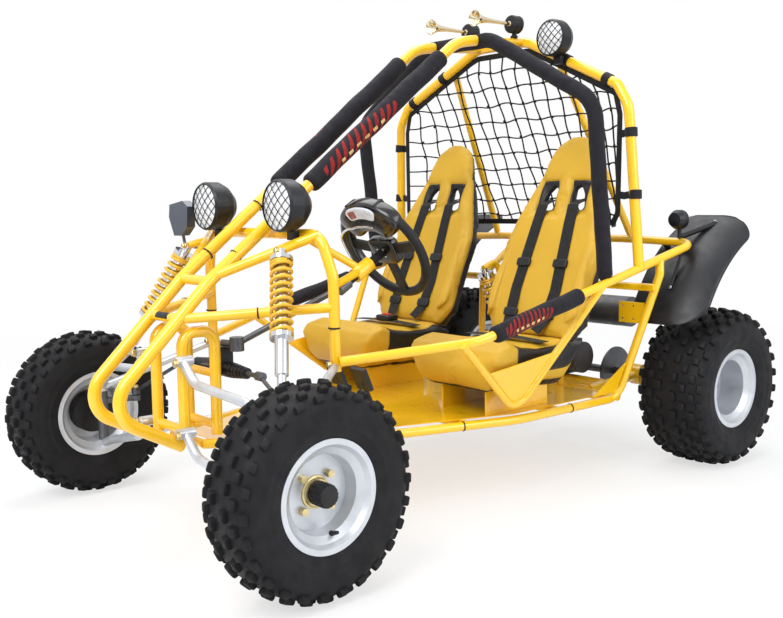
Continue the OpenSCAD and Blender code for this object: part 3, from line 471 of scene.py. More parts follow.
def vinyl_finish(name, main, dark):
    """Grained vinyl in two colours that meet at a sewn seam, where the mesh's panel number is nought. On the
    seat backs the dark colour also fills the belt slots as painted shade.
    """
    finish = Finish(name, 0.46, shine=0.35)
    panel = finish.number("panel")
    on_main = finish.spread(panel, -0.0006, 0.0006)
    colour = finish.mix(on_main, finish.mottled(dark, 9.0, 0.12), finish.mottled(main, 7.0, 0.06))
    finish.paint(colour).worn(30.0, 0.4, 0.55)
    finish.relief(finish.cells(420.0), 0.00018)
    seam = finish.math("ABSOLUTE", panel)
    finish.relief(finish.spread(seam, 0.0, 0.006), 0.003)
    MATERIALS[name] = finish.material


def sleeve_finish(name, cloth, bars=None, dashes=None):
    """Woven sleeve cloth. UV runs once along the sleeve and once round it. A printed sleeve has slanted bars
    that thin out towards both ends of the print, with short dashes in a row between them."""
    finish = Finish(name, 0.78, sheen=0.05, shine=0.2)
    colour = finish.mottled(cloth, 26.0, 0.16)
    if bars:
        split = finish.tree.nodes.new("ShaderNodeSeparateXYZ")
        finish.link(finish.place.outputs["UV"], split.inputs[0])
        along, round_it = split.outputs[0], split.outputs[1]
        facing = finish.math("ABSOLUTE", finish.math("SUBTRACT", round_it, 0.5))
        middle_run = finish.math("ABSOLUTE", finish.math("SUBTRACT", along, PRINT_MIDDLE))
        inside = finish.math("LESS_THAN", middle_run, PRINT_HALF)
        taper = finish.spread(middle_run, 0.0, PRINT_HALF, 0.3, 0.08)
        run = finish.math("MULTIPLY", along, 22.0)
        slanted = finish.math("ADD", run, finish.math("MULTIPLY", round_it, 5.0))
        narrowing = finish.spread(facing, 0.0, 0.3, 0.62, 0.1)
        bar = finish.math("LESS_THAN", finish.math("FRACT", slanted), narrowing)
        within = finish.math("MULTIPLY", inside, finish.math("LESS_THAN", facing, taper))
        bar = finish.math("MULTIPLY", bar, within)
        faded = finish.spread(finish.noise(60.0), 0.25, 0.6, 0.35, 1.0)
        colour = finish.mix(finish.math("MULTIPLY", bar, faded), colour, bars)
        dash = finish.math("LESS_THAN", finish.math("FRACT", finish.math("MULTIPLY", along, 17.0)), 0.5)
        off_row = finish.math("ABSOLUTE", finish.math("SUBTRACT", round_it, 0.54))
        row = finish.math("LESS_THAN", off_row, 0.028)
        short = finish.math("LESS_THAN", middle_run, PRINT_HALF * 0.6)
        dash = finish.math("MULTIPLY", dash, finish.math("MULTIPLY", row, short))
        colour = finish.mix(finish.math("MULTIPLY", dash, faded), colour, dashes)
    finish.paint(colour).worn(40.0, 0.7, 0.86)
    weave = finish.math("MULTIPLY", finish.noise(1100.0, 1.0), 1.0)
    finish.relief(weave, 0.0003)
    finish.relief(finish.noise(28.0, 2.0), 0.004)
    MATERIALS[name] = finish.material


PRINT_MIDDLE = 0.34
PRINT_HALF = 0.26


def webbing_finish(name, colour, ribs):
    """Woven webbing: ribs along the strap with a fine cross weave. UV runs along it and round it."""
    finish = Finish(name, 0.62, sheen=0.05, shine=0.25)
    finish.paint(finish.mottled(colour, 40.0, 0.2)).worn(60.0, 0.55, 0.72)
    finish.relief(finish.bands(ribs, turn=(0, 0, math.pi / 2)), 0.0004)
    finish.relief(finish.noise(1600.0, 1.0), 0.0003)
    MATERIALS[name] = finish.material


def rubber_finish(name, colour):
    """Moulded rubber with a dusty bloom and fine pits."""
    finish = Finish(name, 0.7, shine=0.28)
    dusty = tuple(min(1.0, c * 1.5 + 0.003) for c in colour)
    bloom = finish.spread(finish.noise(9.0, 5.0), 0.46, 0.82)
    finish.paint(finish.mix(bloom, finish.mottled(colour, 60.0, 0.18), dusty)).worn(24.0, 0.58, 0.8)
    finish.relief(finish.noise(700.0), 0.00012)
    MATERIALS[name] = finish.material


def lens_finish(name, colour, flutes):
    """Moulded lens over a bright reflector, with upright flutes whose troughs are painted darker as painted
    shade.
    """
    finish = Finish(name, 0.12, coat=0.6)
    ribs = finish.bands(flutes, source="Object")
    # painted shade: the lens colour falls to 84 per cent of itself in the flutes' troughs, where the ribs are
    # low
    painted_flute_shade = tuple(c * 0.84 for c in colour)
    finish.paint(finish.mix(finish.spread(ribs, 0.1, 0.9), painted_flute_shade, colour)).worn(20.0, 0.08, 0.16)
    finish.relief(ribs, 0.0012)
    MATERIALS[name] = finish.material


# CAD nodes and the finish that each one gets
NODE_FINISHES = {
    "paint": "nose_frame dash_frame front_uprights floor_frame floor_pan side_bar_left side_bar_right "
    "front_hoop rear_hoop rear_frame swing_arm seat_feet",
    "silver": "upper_arms lower_arms front_rim_left front_rim_right rear_rims",
    "spring_coat": "front_springs rear_springs",
    "chrome": "front_shocks rear_shocks",
    "plating": "horns",
    "plastic": "lamp_housings lamp_guards turn_signals fenders fuel_tank pedals steering_rack",
    "grip": "steering_wheel",
    "clear_lens": "lamp_lenses",
    "amber_lens": "turn_lenses",
    "mirror_shell": "wing_mirror",
    "dark_steel": "steering_shaft tie_rods knuckle_left knuckle_right rear_axle chain",
    "engine_metal": "engine muffler",
    "hub_black": "front_hub_left front_hub_right",
}


class KART_OT_finishes(bpy.types.Operator):
    """Makes the finishes and gives each CAD node its own"""

    bl_idname = "kart.finishes"
    bl_label = "Finishes"

    def execute(self, context):
        c = colours()
        plain_finish("paint", tuple(c.paint), 0.3, coat=0.7, mottle=(5.0, 0.045), grain=(240.0, 0.00006))
        plain_finish("silver", tuple(c.silver), 0.36, metal=0.55, coat=0.3, mottle=(18.0, 0.08))
        plain_finish("spring_coat", tuple(c.spring), 0.34, metal=0.1, coat=0.5)
        plain_finish("chrome", srgb(214, 216, 220), 0.14, metal=1.0, grain=(300.0, 0.00001))
        plain_finish("plating", srgb(222, 208, 176), 0.14, metal=1.0, grain=(300.0, 0.00001))
        plain_finish(
            "plastic", tuple(c.plastic), 0.42, mottle=(12.0, 0.12), grain=(520.0, 0.00016), shine=0.4
        )
        plain_finish("grip", tuple(c.rubber), 0.5, mottle=(20.0, 0.15), grain=(640.0, 0.0002), shine=0.35)
        plain_finish("mirror_shell", srgb(70, 76, 86), 0.3, coat=0.4)
        plain_finish("dark_steel", srgb(96, 98, 102), 0.42, metal=0.85, mottle=(30.0, 0.18))
        plain_finish(
            "engine_metal", tuple(c.engine), 0.5, metal=0.7, mottle=(24.0, 0.2), grain=(380.0, 0.0003)
        )
        plain_finish("hub_black", srgb(22, 22, 24), 0.5, mottle=(40.0, 0.2), shine=0.35)
        plain_finish("gloss_black", srgb(14, 14, 16), 0.22, coat=0.3, mottle=(30.0, 0.2))
        plain_finish("zinc", tuple(c.zinc), 0.3, metal=0.9, mottle=(60.0, 0.2))
        plain_finish("red_button", tuple(c.red), 0.35)
        vinyl_finish("seat_vinyl", tuple(c.vinyl), tuple(c.black_vinyl))
        sleeve_finish("sleeve", tuple(c.foam))
        sleeve_finish("printed_sleeve", tuple(c.foam), tuple(c.print_red), tuple(c.print_cream))
        webbing_finish("webbing", srgb(24, 24, 27), 6.0)
        webbing_finish("net_cord", srgb(20, 20, 22), 3.0)
        rubber_finish("rubber", tuple(c.rubber))
        lens_finish("clear_lens", srgb(250, 251, 253), 46.0)
        plain_finish("window", srgb(206, 212, 222), 0.2, coat=0.5, mottle=(70.0, 0.12))
        plain_finish("red_window", srgb(150, 84, 84), 0.25, coat=0.5)
        lens_finish("amber_lens", tuple(c.amber), 80.0)
        for finish, nodes in NODE_FINISHES.items():
            for node in nodes.split():
                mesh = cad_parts[node].data
                mesh.materials.clear()
                mesh.materials.append(MATERIALS[finish])
        return {"FINISHED"}


# Wheels

LUG_COUNT = 26
# Lug rows of one half of the tread, from the middle out: place and half width across as angles of the
# section, length along the tread in metres, shift in pitches
FRONT_LUGS = (
    (0.18, 0.085, 0.026, 0.0),
    (0.54, 0.125, 0.024, 0.5),
    (0.98, 0.135, 0.027, 0.0),
)
REAR_LUGS = (
    (0.13, 0.062, 0.029, 0.0),
    (0.38, 0.086, 0.027, 0.5),
    (0.68, 0.110, 0.027, 0.0),
    (1.02, 0.130, 0.030, 0.5),
)
BEAD_RADIUS = 0.1275
SECTION_END = 2.45


def tyre_section(angle, radius, width, lug_height):
    """Carcass section as (out, across) at an angle from the crown: a broad superellipse above the widest
    point and a plain ellipse below it that runs in to the bead, with three thin rings raised on each side
    wall."""
    crown = radius - lug_height
    widest = BEAD_RADIUS + 0.52 * (crown - BEAD_RADIUS)
    below = (widest - BEAD_RADIUS) / -math.cos(SECTION_END)
    up = np.abs(np.cos(angle)) ** 0.62 * (crown - widest)
    out = widest + np.where(np.abs(angle) < math.pi / 2, up, np.cos(angle) * below)
    across = np.sign(angle) * np.abs(np.sin(angle)) ** 0.72 * (width / 2 - 0.002)
    across = np.where(np.abs(angle) < math.pi / 2, across, np.sign(angle) * (width / 2 - 0.002) * (
        1 - 0.24 * ((np.abs(angle) - math.pi / 2) / (SECTION_END - math.pi / 2)) ** 2))
    rings = sum(np.exp(-(((np.abs(angle) - ring) / 0.022) ** 2)) for ring in (1.62, 1.9, 2.2))
    return out, across + np.sign(angle) * 0.0018 * rings


def on_tyre(centre, out, across, turn):
    """Points at a distance out from the axle, across along X and turned about it."""
    return centre + np.stack(np.broadcast_arrays(across, out * np.cos(turn), out * np.sin(turn)), -1)


def tyre_sheets(centre, radius, width, rows):
    """Carcass as a section turned about the axle, and all lugs as grids raised along the section's own
    normal: full height inside, less at the chamfer, and sunk into the carcass at the foot."""
    height = sizes().lug_height
    angle = np.linspace(-SECTION_END, SECTION_END, 72)
    turn = np.linspace(0, 2 * math.pi, 145)
    out, across = tyre_section(angle, radius, width, height)
    sheets = [sheet(on_tyre(centre, out[None], across[None], turn[:, None]))]
    u = np.array((-1.14, -1.0, -0.9, -0.68, 0.0, 0.68, 0.9, 1.0, 1.14))
    rise = np.array((-0.35, 0.66, 0.9, 1.0, 1.0, 1.0, 0.9, 0.66, -0.35))
    lift = np.minimum(rise[:, None], rise[None]) * height
    step = 1e-3
    for place, half, long, shift in rows:
        for side in SIDES:
            index = np.arange(LUG_COUNT)[:, None, None]
            a = side * (place + half * u)[None, None, :] + 0 * index
            skew = 0.12 * u[None, None, :] * side
            q = (index + shift + (0.5 if side < 0 else 0.0)) * 2 * math.pi / LUG_COUNT
            q = q + (u[None, :, None] + skew) * long / 2 / radius
            o, x = tyre_section(a, radius, width, height)
            o2, x2 = tyre_section(a + step, radius, width, height)
            slope = normalise(np.stack([x2 - x, -(o2 - o)], -1))
            lug = on_tyre(centre, o + lift[None] * slope[..., 0], x + lift[None] * slope[..., 1], q)
            sheets.extend(sheet(one) for one in lug)
    return sheets


class KART_OT_tyres(bpy.types.Operator):
    """Knobbly tyres in place of the plain ones"""

    bl_idname = "kart.tyres"
    bl_label = "Tyres"

    def execute(self, context):
        for node, body in (
            ("front_tyre_left", "front_left_wheel"),
            ("front_tyre_right", "front_right_wheel"),
        ):
            size = reach(node)
            sheets = tyre_sheets(middle(node), size[2] / 2, size[0], FRONT_LUGS)
            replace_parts(piece(f"{node}_knobbly", sheets, [MATERIALS["rubber"]], body), node)
        width = sizes().rear_tyre_width
        radius = reach("rear_tyres")[2] / 2
        offset = reach("rear_tyres")[0] / 2 - width / 2
        sheets = []
        for side in SIDES:
            sheets += tyre_sheets(REAR_AXLE + np.array((side * offset, 0, 0)), radius, width, REAR_LUGS)
        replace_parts(piece("rear_tyres_knobbly", sheets, [MATERIALS["rubber"]], "rear_wheels"), "rear_tyres")
        return {"FINISHED"}


# Struts of the left side: top and bottom as x, distance behind the front axle, z; share of the length that
# the spring starts and ends at; turns
STRUTS = (
    ("front_springs", (0.254, 0.186, 0.818), (0.436, 0.052, 0.474), 0.0908, 0.62, 11),
    ("rear_springs", (0.105, 1.356, 0.690), (0.105, 1.520, 0.330), 0.0908, 0.70, 10),
)
COIL_RADIUS = 0.027
WIRE_RADIUS = 0.0052


def coil(top, bottom, turns):
    """A round wire carried along a helix about the line from top to bottom, whose two end turns lie flat."""
    axis = normalise(bottom - top)
    side = normalise(np.cross(axis, (0.0, 1.0, 0.0)))
    q = np.linspace(0, 2 * math.pi * turns, turns * 28 + 1)
    share = np.clip((q - math.pi * 1.5) / (q[-1] - math.pi * 3.0), 0.0, 1.0)[:, None]
    around = np.cos(q)[:, None] * side + np.sin(q)[:, None] * np.cross(axis, side)
    first, last = top + axis * WIRE_RADIUS, bottom - axis * WIRE_RADIUS
    return tube(first + (last - first) * share + around * COIL_RADIUS, WIRE_RADIUS, axis, 10)


class KART_OT_springs(bpy.types.Operator):
    """Round-wire springs in place of the faceted ones"""

    bl_idname = "kart.springs"
    bl_label = "Springs"

    def execute(self, context):
        for node, top, bottom, begin, end, turns in STRUTS:
            sheets = []
            for side in SIDES:
                a, b = (at(side * x, y, z) for x, y, z in (top, bottom))
                sheets.append(sheet(coil(a + (b - a) * begin, a + (b - a) * end, turns)))
            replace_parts(piece(f"{node}_wire", sheets, [MATERIALS["spring_coat"]], CHASSIS), node)
        return {"FINISHED"}


# Flange and valve as (distance out, distance along), and the cap as (share of its radius, distance along)
FLANGE = ((0.028, 0.0), (0.028, 0.010), (0.033, 0.010), (0.036, 0.005), (0.040, 0.004), (0.041, 0.0))
VALVE = ((0.0, 0.0), (0.0075, 0.0), (0.0055, 0.012), (0.0045, 0.026), (0.0, 0.028))
CAP = ((0.0, -0.044), (1.0, -0.044), (1.0, -0.008), (0.9, -0.001), (0.6, 0.0014), (0.0, 0.002))
FLANGE_FOOT = 0.0163
VALVE_AT = 0.098
NUTS_BEYOND = 0.042


def hub_sheets(centre, side):
    """A pressed flange with a raised ring, turned about the axle, and a valve on the barrel's step."""
    outward = (side, 0, 0)
    flange = turned(FLANGE, centre + np.array((side * FLANGE_FOOT, 0, 0)), outward)
    valve = turned(VALVE, centre + np.array((side * 0.050, 0.02, -VALVE_AT)), (side, 0.0, 0.35), 14)
    return [sheet(flange), sheet(valve, 1)]


class KART_OT_hubs(bpy.types.Operator):
    """Flanges, valves and ribbed caps of the front wheels"""

    bl_idname = "kart.hubs"
    bl_label = "Hubs"

    def execute(self, context):
        for word, side in (("left", 1), ("right", -1)):
            centre = middle(f"front_tyre_{word}")
            materials = [MATERIALS["zinc"], MATERIALS["hub_black"]]
            piece(f"front_flange_{word}", hub_sheets(centre, side), materials, f"front_{word}_wheel")
            low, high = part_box(f"front_hub_{word}")
            tip = np.array(((high if side > 0 else low)[0], centre[1], centre[2]))
            q = circle(72)
            rib = 0.0285 + 0.0009 * np.sign(np.sin(np.linspace(0, 2 * math.pi * 18, 73)))
            run = np.array(CAP)
            spoke = np.stack([0 * rib, q[:, 0] * rib, q[:, 1] * rib], -1)
            cap = tip + run[:, None, :1] * spoke[None] + run[:, None, 1:] * np.array((side, 0.0, 0.0))
            piece(f"front_cap_{word}", [sheet(cap)], [MATERIALS["hub_black"]], f"front_{word}_wheel")
            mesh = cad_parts[f"front_hub_{word}"].data
            mesh.materials.append(MATERIALS["zinc"])
            spots = np.empty(len(mesh.polygons) * 3, dtype=np.float32)
            mesh.polygons.foreach_get("center", spots)
            spots = spots.reshape(-1, 3) - centre
            bright = (np.hypot(spots[:, 1], spots[:, 2]) > NUTS_BEYOND) & (spots[:, 0] * side > FLANGE_FOOT)
            mesh.polygons.foreach_set("material_index", bright.astype(np.int32))
        return {"FINISHED"}


# Horns: half distance apart, distance behind the front axle of the mouths, height, foot behind the front axle
HORNS = (0.106, 1.092, 1.556, 1.292, 1.511)
# Bell and drum as (distance out, distance along)
BELL = (
    (0.0, 0.020), (0.008, 0.018), (0.017, 0.006), (0.0255, 0.0005), (0.0268, 0.0), (0.0270, 0.0015),
    (0.0225, 0.009), (0.0165, 0.022), (0.0118, 0.040), (0.0086, 0.066), (0.0068, 0.105), (0.0060, 0.150),
    (0.0060, 0.172), (0.0095, 0.173), (0.0095, 0.179), (0.0, 0.179),
)
DRUM = (
    (0.0, 0.177), (0.020, 0.177), (0.029, 0.180), (0.031, 0.184), (0.031, 0.190), (0.0285, 0.192),
    (0.0285, 0.208), (0.031, 0.210), (0.031, 0.216), (0.026, 0.2215), (0.0, 0.222),
)


class KART_OT_horns(bpy.types.Operator):
    """Bright trumpets with dark drums and feet"""

    bl_idname = "kart.horns"
    bl_label = "Horns"

    def execute(self, context):
        half, mouth, high, foot, low = HORNS
        sheets = []
        for side in SIDES:
            front = at(side * half, mouth, high)
            sheets.append(sheet(turned(BELL, front, (0, 1, 0))))
            sheets.append(sheet(turned(DRUM, front, (0, 1, 0)), 1))
            tall = high - low
            post = ((0.0, 0.0), (0.013, 0.0), (0.013, 0.006), (0.008, 0.009), (0.008, tall), (0.0, tall))
            sheets.append(sheet(turned(post, at(side * half, foot, low), (0, 0, 1), 24), 1))
        materials = [MATERIALS["plating"], MATERIALS["hub_black"]]
        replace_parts(piece("horn_trumpets", sheets, materials, CHASSIS), "horns")
        return {"FINISHED"}


# Foam sleeves

SLEEVE_END = 0.016


def sleeve_points(path, radius, tube_radius, sides=36, seed=0.0):
    """A soft sleeve along a path: its radius rises from the bar in a quarter round at each end, and ripples
    by slow waves along it and round it, as foam under cloth does."""
    path = even(np.asarray(path, dtype=float), 120)
    run = np.concatenate([[0], np.cumsum(np.linalg.norm(np.diff(path, axis=0), axis=1))])
    edge = np.clip(np.minimum(run, run[-1] - run) / SLEEVE_END, 0, 1)
    full = tube_radius + (radius - tube_radius) * np.sqrt(1 - (1 - edge) ** 2)
    q = np.linspace(0, 2 * math.pi, sides + 1)
    wave = np.sin(run[:, None] * 34 + 2 * np.sin(q) + seed) * np.sin(run[:, None] * 13 + seed)
    fold = 0.0011 * wave * edge[:, None] + 0.0007 * np.sin(3 * q + run[:, None] * 21 + seed) * edge[:, None]
    profile = circle(sides)[None] * (full[:, None] + fold - 0.0012)[..., None]
    return path, profile


def pad_axis(node, side):
    """Ends of a straight sleeve on one side of the kart: the far ends of its points along their main way."""
    points = coordinates(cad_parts[node].data)
    points = points[points[:, 0] * side > 0]
    centre = (points.min(0) + points.max(0)) / 2
    run = np.linalg.svd(points - points.mean(0), full_matrices=False)[2][0]
    run = run * (1 if run[1] > 0 else -1)
    spot = (points - centre) @ run
    ends = [points[np.abs(spot - t) < 1e-3].mean(0) for t in (spot.min(), spot.max())]
    radius = np.linalg.norm(np.cross(points - ends[0], run), axis=1).max()
    return ends[0], ends[1], float(radius)


PILLAR_TUBE = 0.018
SIDE_TUBE = 0.014
HOOP_TUBE = 0.016


class KART_OT_sleeves(bpy.types.Operator):
    """Foam sleeves on the pillars, side bars and front hoop"""

    bl_idname = "kart.sleeves"
    bl_label = "Foam sleeves"

    def execute(self, context):
        for node, bar in (("pillar_pads", PILLAR_TUBE), ("side_pads", SIDE_TUBE)):
            sheets = []
            for side in SIDES:
                a, b, radius = pad_axis(node, side)
                path, profile = sleeve_points((a, (a + b) / 2, b), radius, bar, seed=1.3 * side)
                sheets.append(sheet(carried(path, np.array((-side, 0.0, 0.0)), profile)))
            obj = piece(f"{node}_foam", sheets, [MATERIALS["printed_sleeve"]], CHASSIS)
            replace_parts(obj, node)
        low, high = (np.array(p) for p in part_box("hoop_pad"))
        radius = HOOP_PAD_RADIUS
        half, top = high[0] - radius, high[2] - radius
        front, back = low[1] + radius, high[1] - radius

        def hoop(x, z):
            return np.array((x, front + (back - front) * (top - z) / (top - low[2]), z))

        corners = [hoop(half, low[2]), hoop(half, HOOP_SHOULDER), hoop(HOOP_FLAT, top)]
        corners += [p * np.array((-1, 1, 1)) for p in corners[::-1]]
        path = rounded_path(corners, HOOP_BENDS)
        path, profile = sleeve_points(path, radius, HOOP_TUBE)
        obj = piece("hoop_pad_foam", [sheet(carried(path, np.array((0.0, 1.0, 0.0)), profile))],
                    [MATERIALS["sleeve"]], CHASSIS)
        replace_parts(obj, "hoop_pad")
        return {"FINISHED"}


HOOP_PAD_RADIUS = 0.026
HOOP_SHOULDER = 1.25
HOOP_FLAT = 0.15
HOOP_BENDS = (0.095, 0.12, 0.12, 0.095)

# Seats

SEAT_X = 0.300
SEAT_FOOT_Y = 1.135
SEAT_FOOT_Z = 0.492
SEAT_LEAN = math.radians(22.0)
SLOT_MIDDLE = (0.067, 0.508)
SLOT_HALF = (0.029, 0.046)
# How much of the side bolsters' height shows, and where up the back it fades out
BOLSTER_STAND = 0.42
BOLSTER_FULL = 0.08
BOLSTER_TOP = 0.36
# Share of the shell's thickness taken off at the slots, the depth it closes on, and how far round them
SLOT_PINCH = 0.62
SLOT_DEPTH = -0.018
SLOT_RIM = 0.030
# Where the front panel meets the dark rear shell, ahead of the front face
SHELL_SEAM = -0.024
FLANK_FROM = 0.885


def seat_point(side, across, up, ahead):
    """A point on a seat: across from its middle, up its back and ahead of its front face."""
    across, up, ahead = np.broadcast_arrays(*(np.asarray(v, dtype=float) for v in (across, up, ahead)))
    foot = at(side * SEAT_X, SEAT_FOOT_Y, SEAT_FOOT_Z)
    y = up * math.sin(SEAT_LEAN) - ahead * math.cos(SEAT_LEAN)
    z = up * math.cos(SEAT_LEAN) + ahead * math.sin(SEAT_LEAN)
    return foot + np.stack([across, y, z], -1)


def in_seat(points, side):
    """Across, up and ahead on a seat, for points in the row frame."""
    d = points - at(side * SEAT_X, SEAT_FOOT_Y, SEAT_FOOT_Z)
    up = d[:, 1] * math.sin(SEAT_LEAN) + d[:, 2] * math.cos(SEAT_LEAN)
    ahead = -d[:, 1] * math.cos(SEAT_LEAN) + d[:, 2] * math.sin(SEAT_LEAN)
    return d[:, 0], up, ahead


def half_of(node, side, name):
    """A merged copy of what a CAD node has on one side of the kart."""
    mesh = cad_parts[node].data.copy()
    mesh.name = name
    work = bmesh.new()
    work.from_mesh(mesh)
    gone = [v for v in work.verts if v.co.x * side < 0]
    bmesh.ops.delete(work, geom=gone, context="VERTS")
    bmesh.ops.remove_doubles(work, verts=work.verts, dist=1e-5)
    work.to_mesh(mesh)
    work.free()
    mesh.materials.clear()
    obj = bpy.data.objects.new(name, mesh)
    bpy.context.scene.collection.objects.link(obj)
    return obj


def settle(obj):
    """Applies the object's modifiers."""
    context = bpy.context
    context.view_layer.update()
    mesh = bpy.data.meshes.new_from_object(obj.evaluated_get(context.evaluated_depsgraph_get()))
    old = obj.data
    obj.modifiers.clear()
    obj.data = mesh
    mesh.name = obj.name
    bpy.data.meshes.remove(old)


def plump(obj, cell, swell, eased, pressure=4.0, frames=20):
    """Remeshes a closed form into even cells, eases its points by a function, blows it up as cloth, caps how
    far a point moves and smooths it."""
    even_cells = obj.modifiers.new("even", "REMESH")
    even_cells.mode = "VOXEL"
    even_cells.voxel_size = cell
    rounding = obj.modifiers.new("rounding", "SMOOTH")
    rounding.factor = 0.5
    rounding.iterations = 6
    settle(obj)
    rest = eased(coordinates(obj.data))
    obj.data.vertices.foreach_set("co", rest.astype(np.float32).ravel())
    scene = bpy.context.scene
    cloth = obj.modifiers.new("foam", "CLOTH")
    cloth.settings.use_pressure = True
    cloth.settings.uniform_pressure_force = pressure
    cloth.settings.effector_weights.gravity = 0.0
    cloth.settings.quality = 4
    cloth.point_cache.frame_end = frames
    for step in range(1, frames + 1):
        scene.frame_set(step)
    settle(obj)
    scene.frame_set(1)
    shift = coordinates(obj.data) - rest
    far = np.linalg.norm(shift, axis=1, keepdims=True)
    moved = rest + shift * np.minimum(1.0, swell / np.maximum(far, 1e-9))
    obj.data.vertices.foreach_set("co", moved.astype(np.float32).ravel())
    soften = obj.modifiers.new("soften", "SMOOTH")
    soften.factor = 0.5
    soften.iterations = 4
    settle(obj)
    obj.data.polygons.foreach_set("use_smooth", np.ones(len(obj.data.polygons), dtype=bool))
    return obj


def beyond_slot(across, up):
    """Distance outside the belt slots, the larger of the two ways."""
    sideways = np.abs(np.abs(across) - SLOT_MIDDLE[0]) - SLOT_HALF[0]
    return np.maximum(sideways, np.abs(up - SLOT_MIDDLE[1]) - SLOT_HALF[1])


def eased_back(points, side):
    """Lowers the side bolsters, down to nothing at their top along a half cosine, and pinches the shell round
    the belt slots."""
    across, up, ahead = in_seat(points, side)
    fade = 0.5 + 0.5 * np.cos(math.pi * np.clip((up - BOLSTER_FULL) / (BOLSTER_TOP - BOLSTER_FULL), 0.0, 1.0))
    ahead = np.where(ahead > 0.0, ahead * BOLSTER_STAND * fade, ahead)
    pinch = SLOT_PINCH * np.clip(1.0 - beyond_slot(across, up) / SLOT_RIM, 0.0, 1.0)
    return seat_point(side, across, up, ahead + (SLOT_DEPTH - ahead) * pinch)


def back_panel_and_slot_shade(points, side):
    """Signed distance from the seam on a seat back, above nought on the main panel. Dark are the rear shell
    and each belt slot, a closed recess painted dark as painted shade of an opening, out to a rim 7 mm round
    it."""
    across, up, ahead = in_seat(points, side)
    # painted shade: the dark colour fills each belt slot, which is not cut through, and reaches 7 mm round it
    return np.minimum(ahead - SHELL_SEAM, beyond_slot(across, up) - 0.007)


def eased_cushion(points, side):
    """A cushion stays as it is."""
    return points


def cushion_panel(points, side):
    """Signed distance from the seam on a cushion: dark are its flanks behind the roll and its underside."""
    across = np.abs(points[:, 0] - side * SEAT_X)
    behind = points[:, 1] - at(0, FLANK_FROM, 0)[1]
    return np.minimum(np.maximum(0.166 - across, -behind), points[:, 2] - 0.368)


class KART_OT_seats(bpy.types.Operator):
    """Foam seats with vinyl panels"""

    bl_idname = "kart.seats"
    bl_label = "Seats"

    def execute(self, context):
        s = sizes()
        for node, panel, eased in (
            ("seat_backs", back_panel_and_slot_shade, eased_back),
            ("seat_cushions", cushion_panel, eased_cushion),
        ):
            made = []
            for word, side in (("left", 1), ("right", -1)):
                foam = half_of(node, side, f"{node}_{word}_foam")
                obj = plump(foam, s.foam_cell, s.foam_swell, lambda points: eased(points, side))
                attribute(obj.data, "panel", panel(coordinates(obj.data), side))
                obj.data.materials.append(MATERIALS["seat_vinyl"])
                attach(obj, CHASSIS)
                made.append(obj)
            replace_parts(made[0], node)
            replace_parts(made[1], node)
        return {"FINISHED"}


# Harness

BELT_LIFT = 0.012
LAP_Y = 1.036
LAP_Z = 0.486


def ball_angles(rows, columns):
    """Grids of the two angles of a ball, from pole to pole and once round."""
    rise = np.linspace(-math.pi / 2, math.pi / 2, rows)
    return np.meshgrid(rise, np.linspace(0, 2 * math.pi, columns), indexing="ij")


def buckle(centre, along, across, size, power=0.35):
    """A rounded box as a superellipsoid: sine and cosine of two angles, each raised to a small power."""
    v, u = ball_angles(17, 33)

    def soft(x):
        return np.sign(x) * np.abs(x) ** power

    along, across = normalise(np.asarray(along, dtype=float)), normalise(np.asarray(across, dtype=float))
    out = np.cross(along, across)
    p = np.stack([soft(np.cos(v)) * soft(np.cos(u)), soft(np.cos(v)) * soft(np.sin(u)), soft(np.sin(v))], -1)
    p = p * np.array(size) / 2
    return centre + p[..., :1] * along + p[..., 1:2] * across + p[..., 2:] * out


class KART_OT_harness(bpy.types.Operator):
    """Shoulder and lap belts with their slides and buckles"""

    bl_idname = "kart.harness"
    bl_label = "Harness"

    def execute(self, context):
        s = sizes()
        sheets = []
        right = np.array((1.0, 0.0, 0.0))
        for side in SIDES:
            up_axis = normalise(seat_point(side, 0, 1, 0) - seat_point(side, 0, 0, 0))
            for m in SIDES:
                across = m * np.array((0.066, 0.066, 0.070, 0.078, 0.086, 0.078, 0.060))
                up = np.array((0.500, 0.470, 0.400, 0.280, 0.160, 0.060, 0.012))
                lift = np.array((-0.030, 0.010, BELT_LIFT, BELT_LIFT, BELT_LIFT, 0.016, 0.030))
                line = even(seat_point(side, across, up, lift), 40)
                sheets.append(sheet(band(line, right, s.belt_width, s.belt_thick)))
                for high in (0.255, 0.075):
                    out = m * np.interp(high, up[::-1], np.abs(across[::-1]))
                    spot = seat_point(side, out, high, BELT_LIFT + 0.004)
                    slide = buckle(spot, up_axis, right, (0.030, s.belt_width + 0.012, 0.011))
                    sheets.append(sheet(slide, 1))
            x = np.linspace(-0.165, 0.165, 25)
            sag = 0.006 * np.cos(x / 0.165 * math.pi / 2)
            lap = at(side * SEAT_X, LAP_Y, LAP_Z) + np.stack([x, 0 * x, sag + 0.012], -1)
            sheets.append(sheet(band(lap, np.array((0.0, 1.0, 0.0)), s.belt_width, s.belt_thick)))
            lock = at(side * SEAT_X, LAP_Y, LAP_Z + 0.027)
            sheets.append(sheet(buckle(lock, right, (0, 1, 0), (0.072, 0.060, 0.024)), 1))
            button = buckle(lock + np.array((0, 0, 0.011)), right, (0, 1, 0), (0.034, 0.026, 0.010))
            sheets.append(sheet(button, 2))
        obj = piece("harness_belts", sheets,
                    [MATERIALS["webbing"], MATERIALS["plastic"], MATERIALS["red_button"]], CHASSIS)
        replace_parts(obj, "harness")
        return {"FINISHED"}


# Net

# Height and half width of the net inside the rear hoop
NET_EDGE = (
    (0.862, 0.492),
    (0.90, 0.514),
    (1.22, 0.518),
    (1.29, 0.500),
    (1.40, 0.274),
    (1.455, 0.157),
    (1.468, 0.120),
)
# Distance behind the front axle of the hoop's plane, and of the net's middle at its low and high edge
NET_HOOP = 1.345
NET_LOW = (0.852, 1.600)
NET_HIGH = (1.434, 1.330)
NET_PULL = 0.006
NET_HEM = 0.020


def net_half(high):
    """Half width of the net at a height."""
    heights, half = np.array(NET_EDGE).T
    return np.interp(high, heights, half)


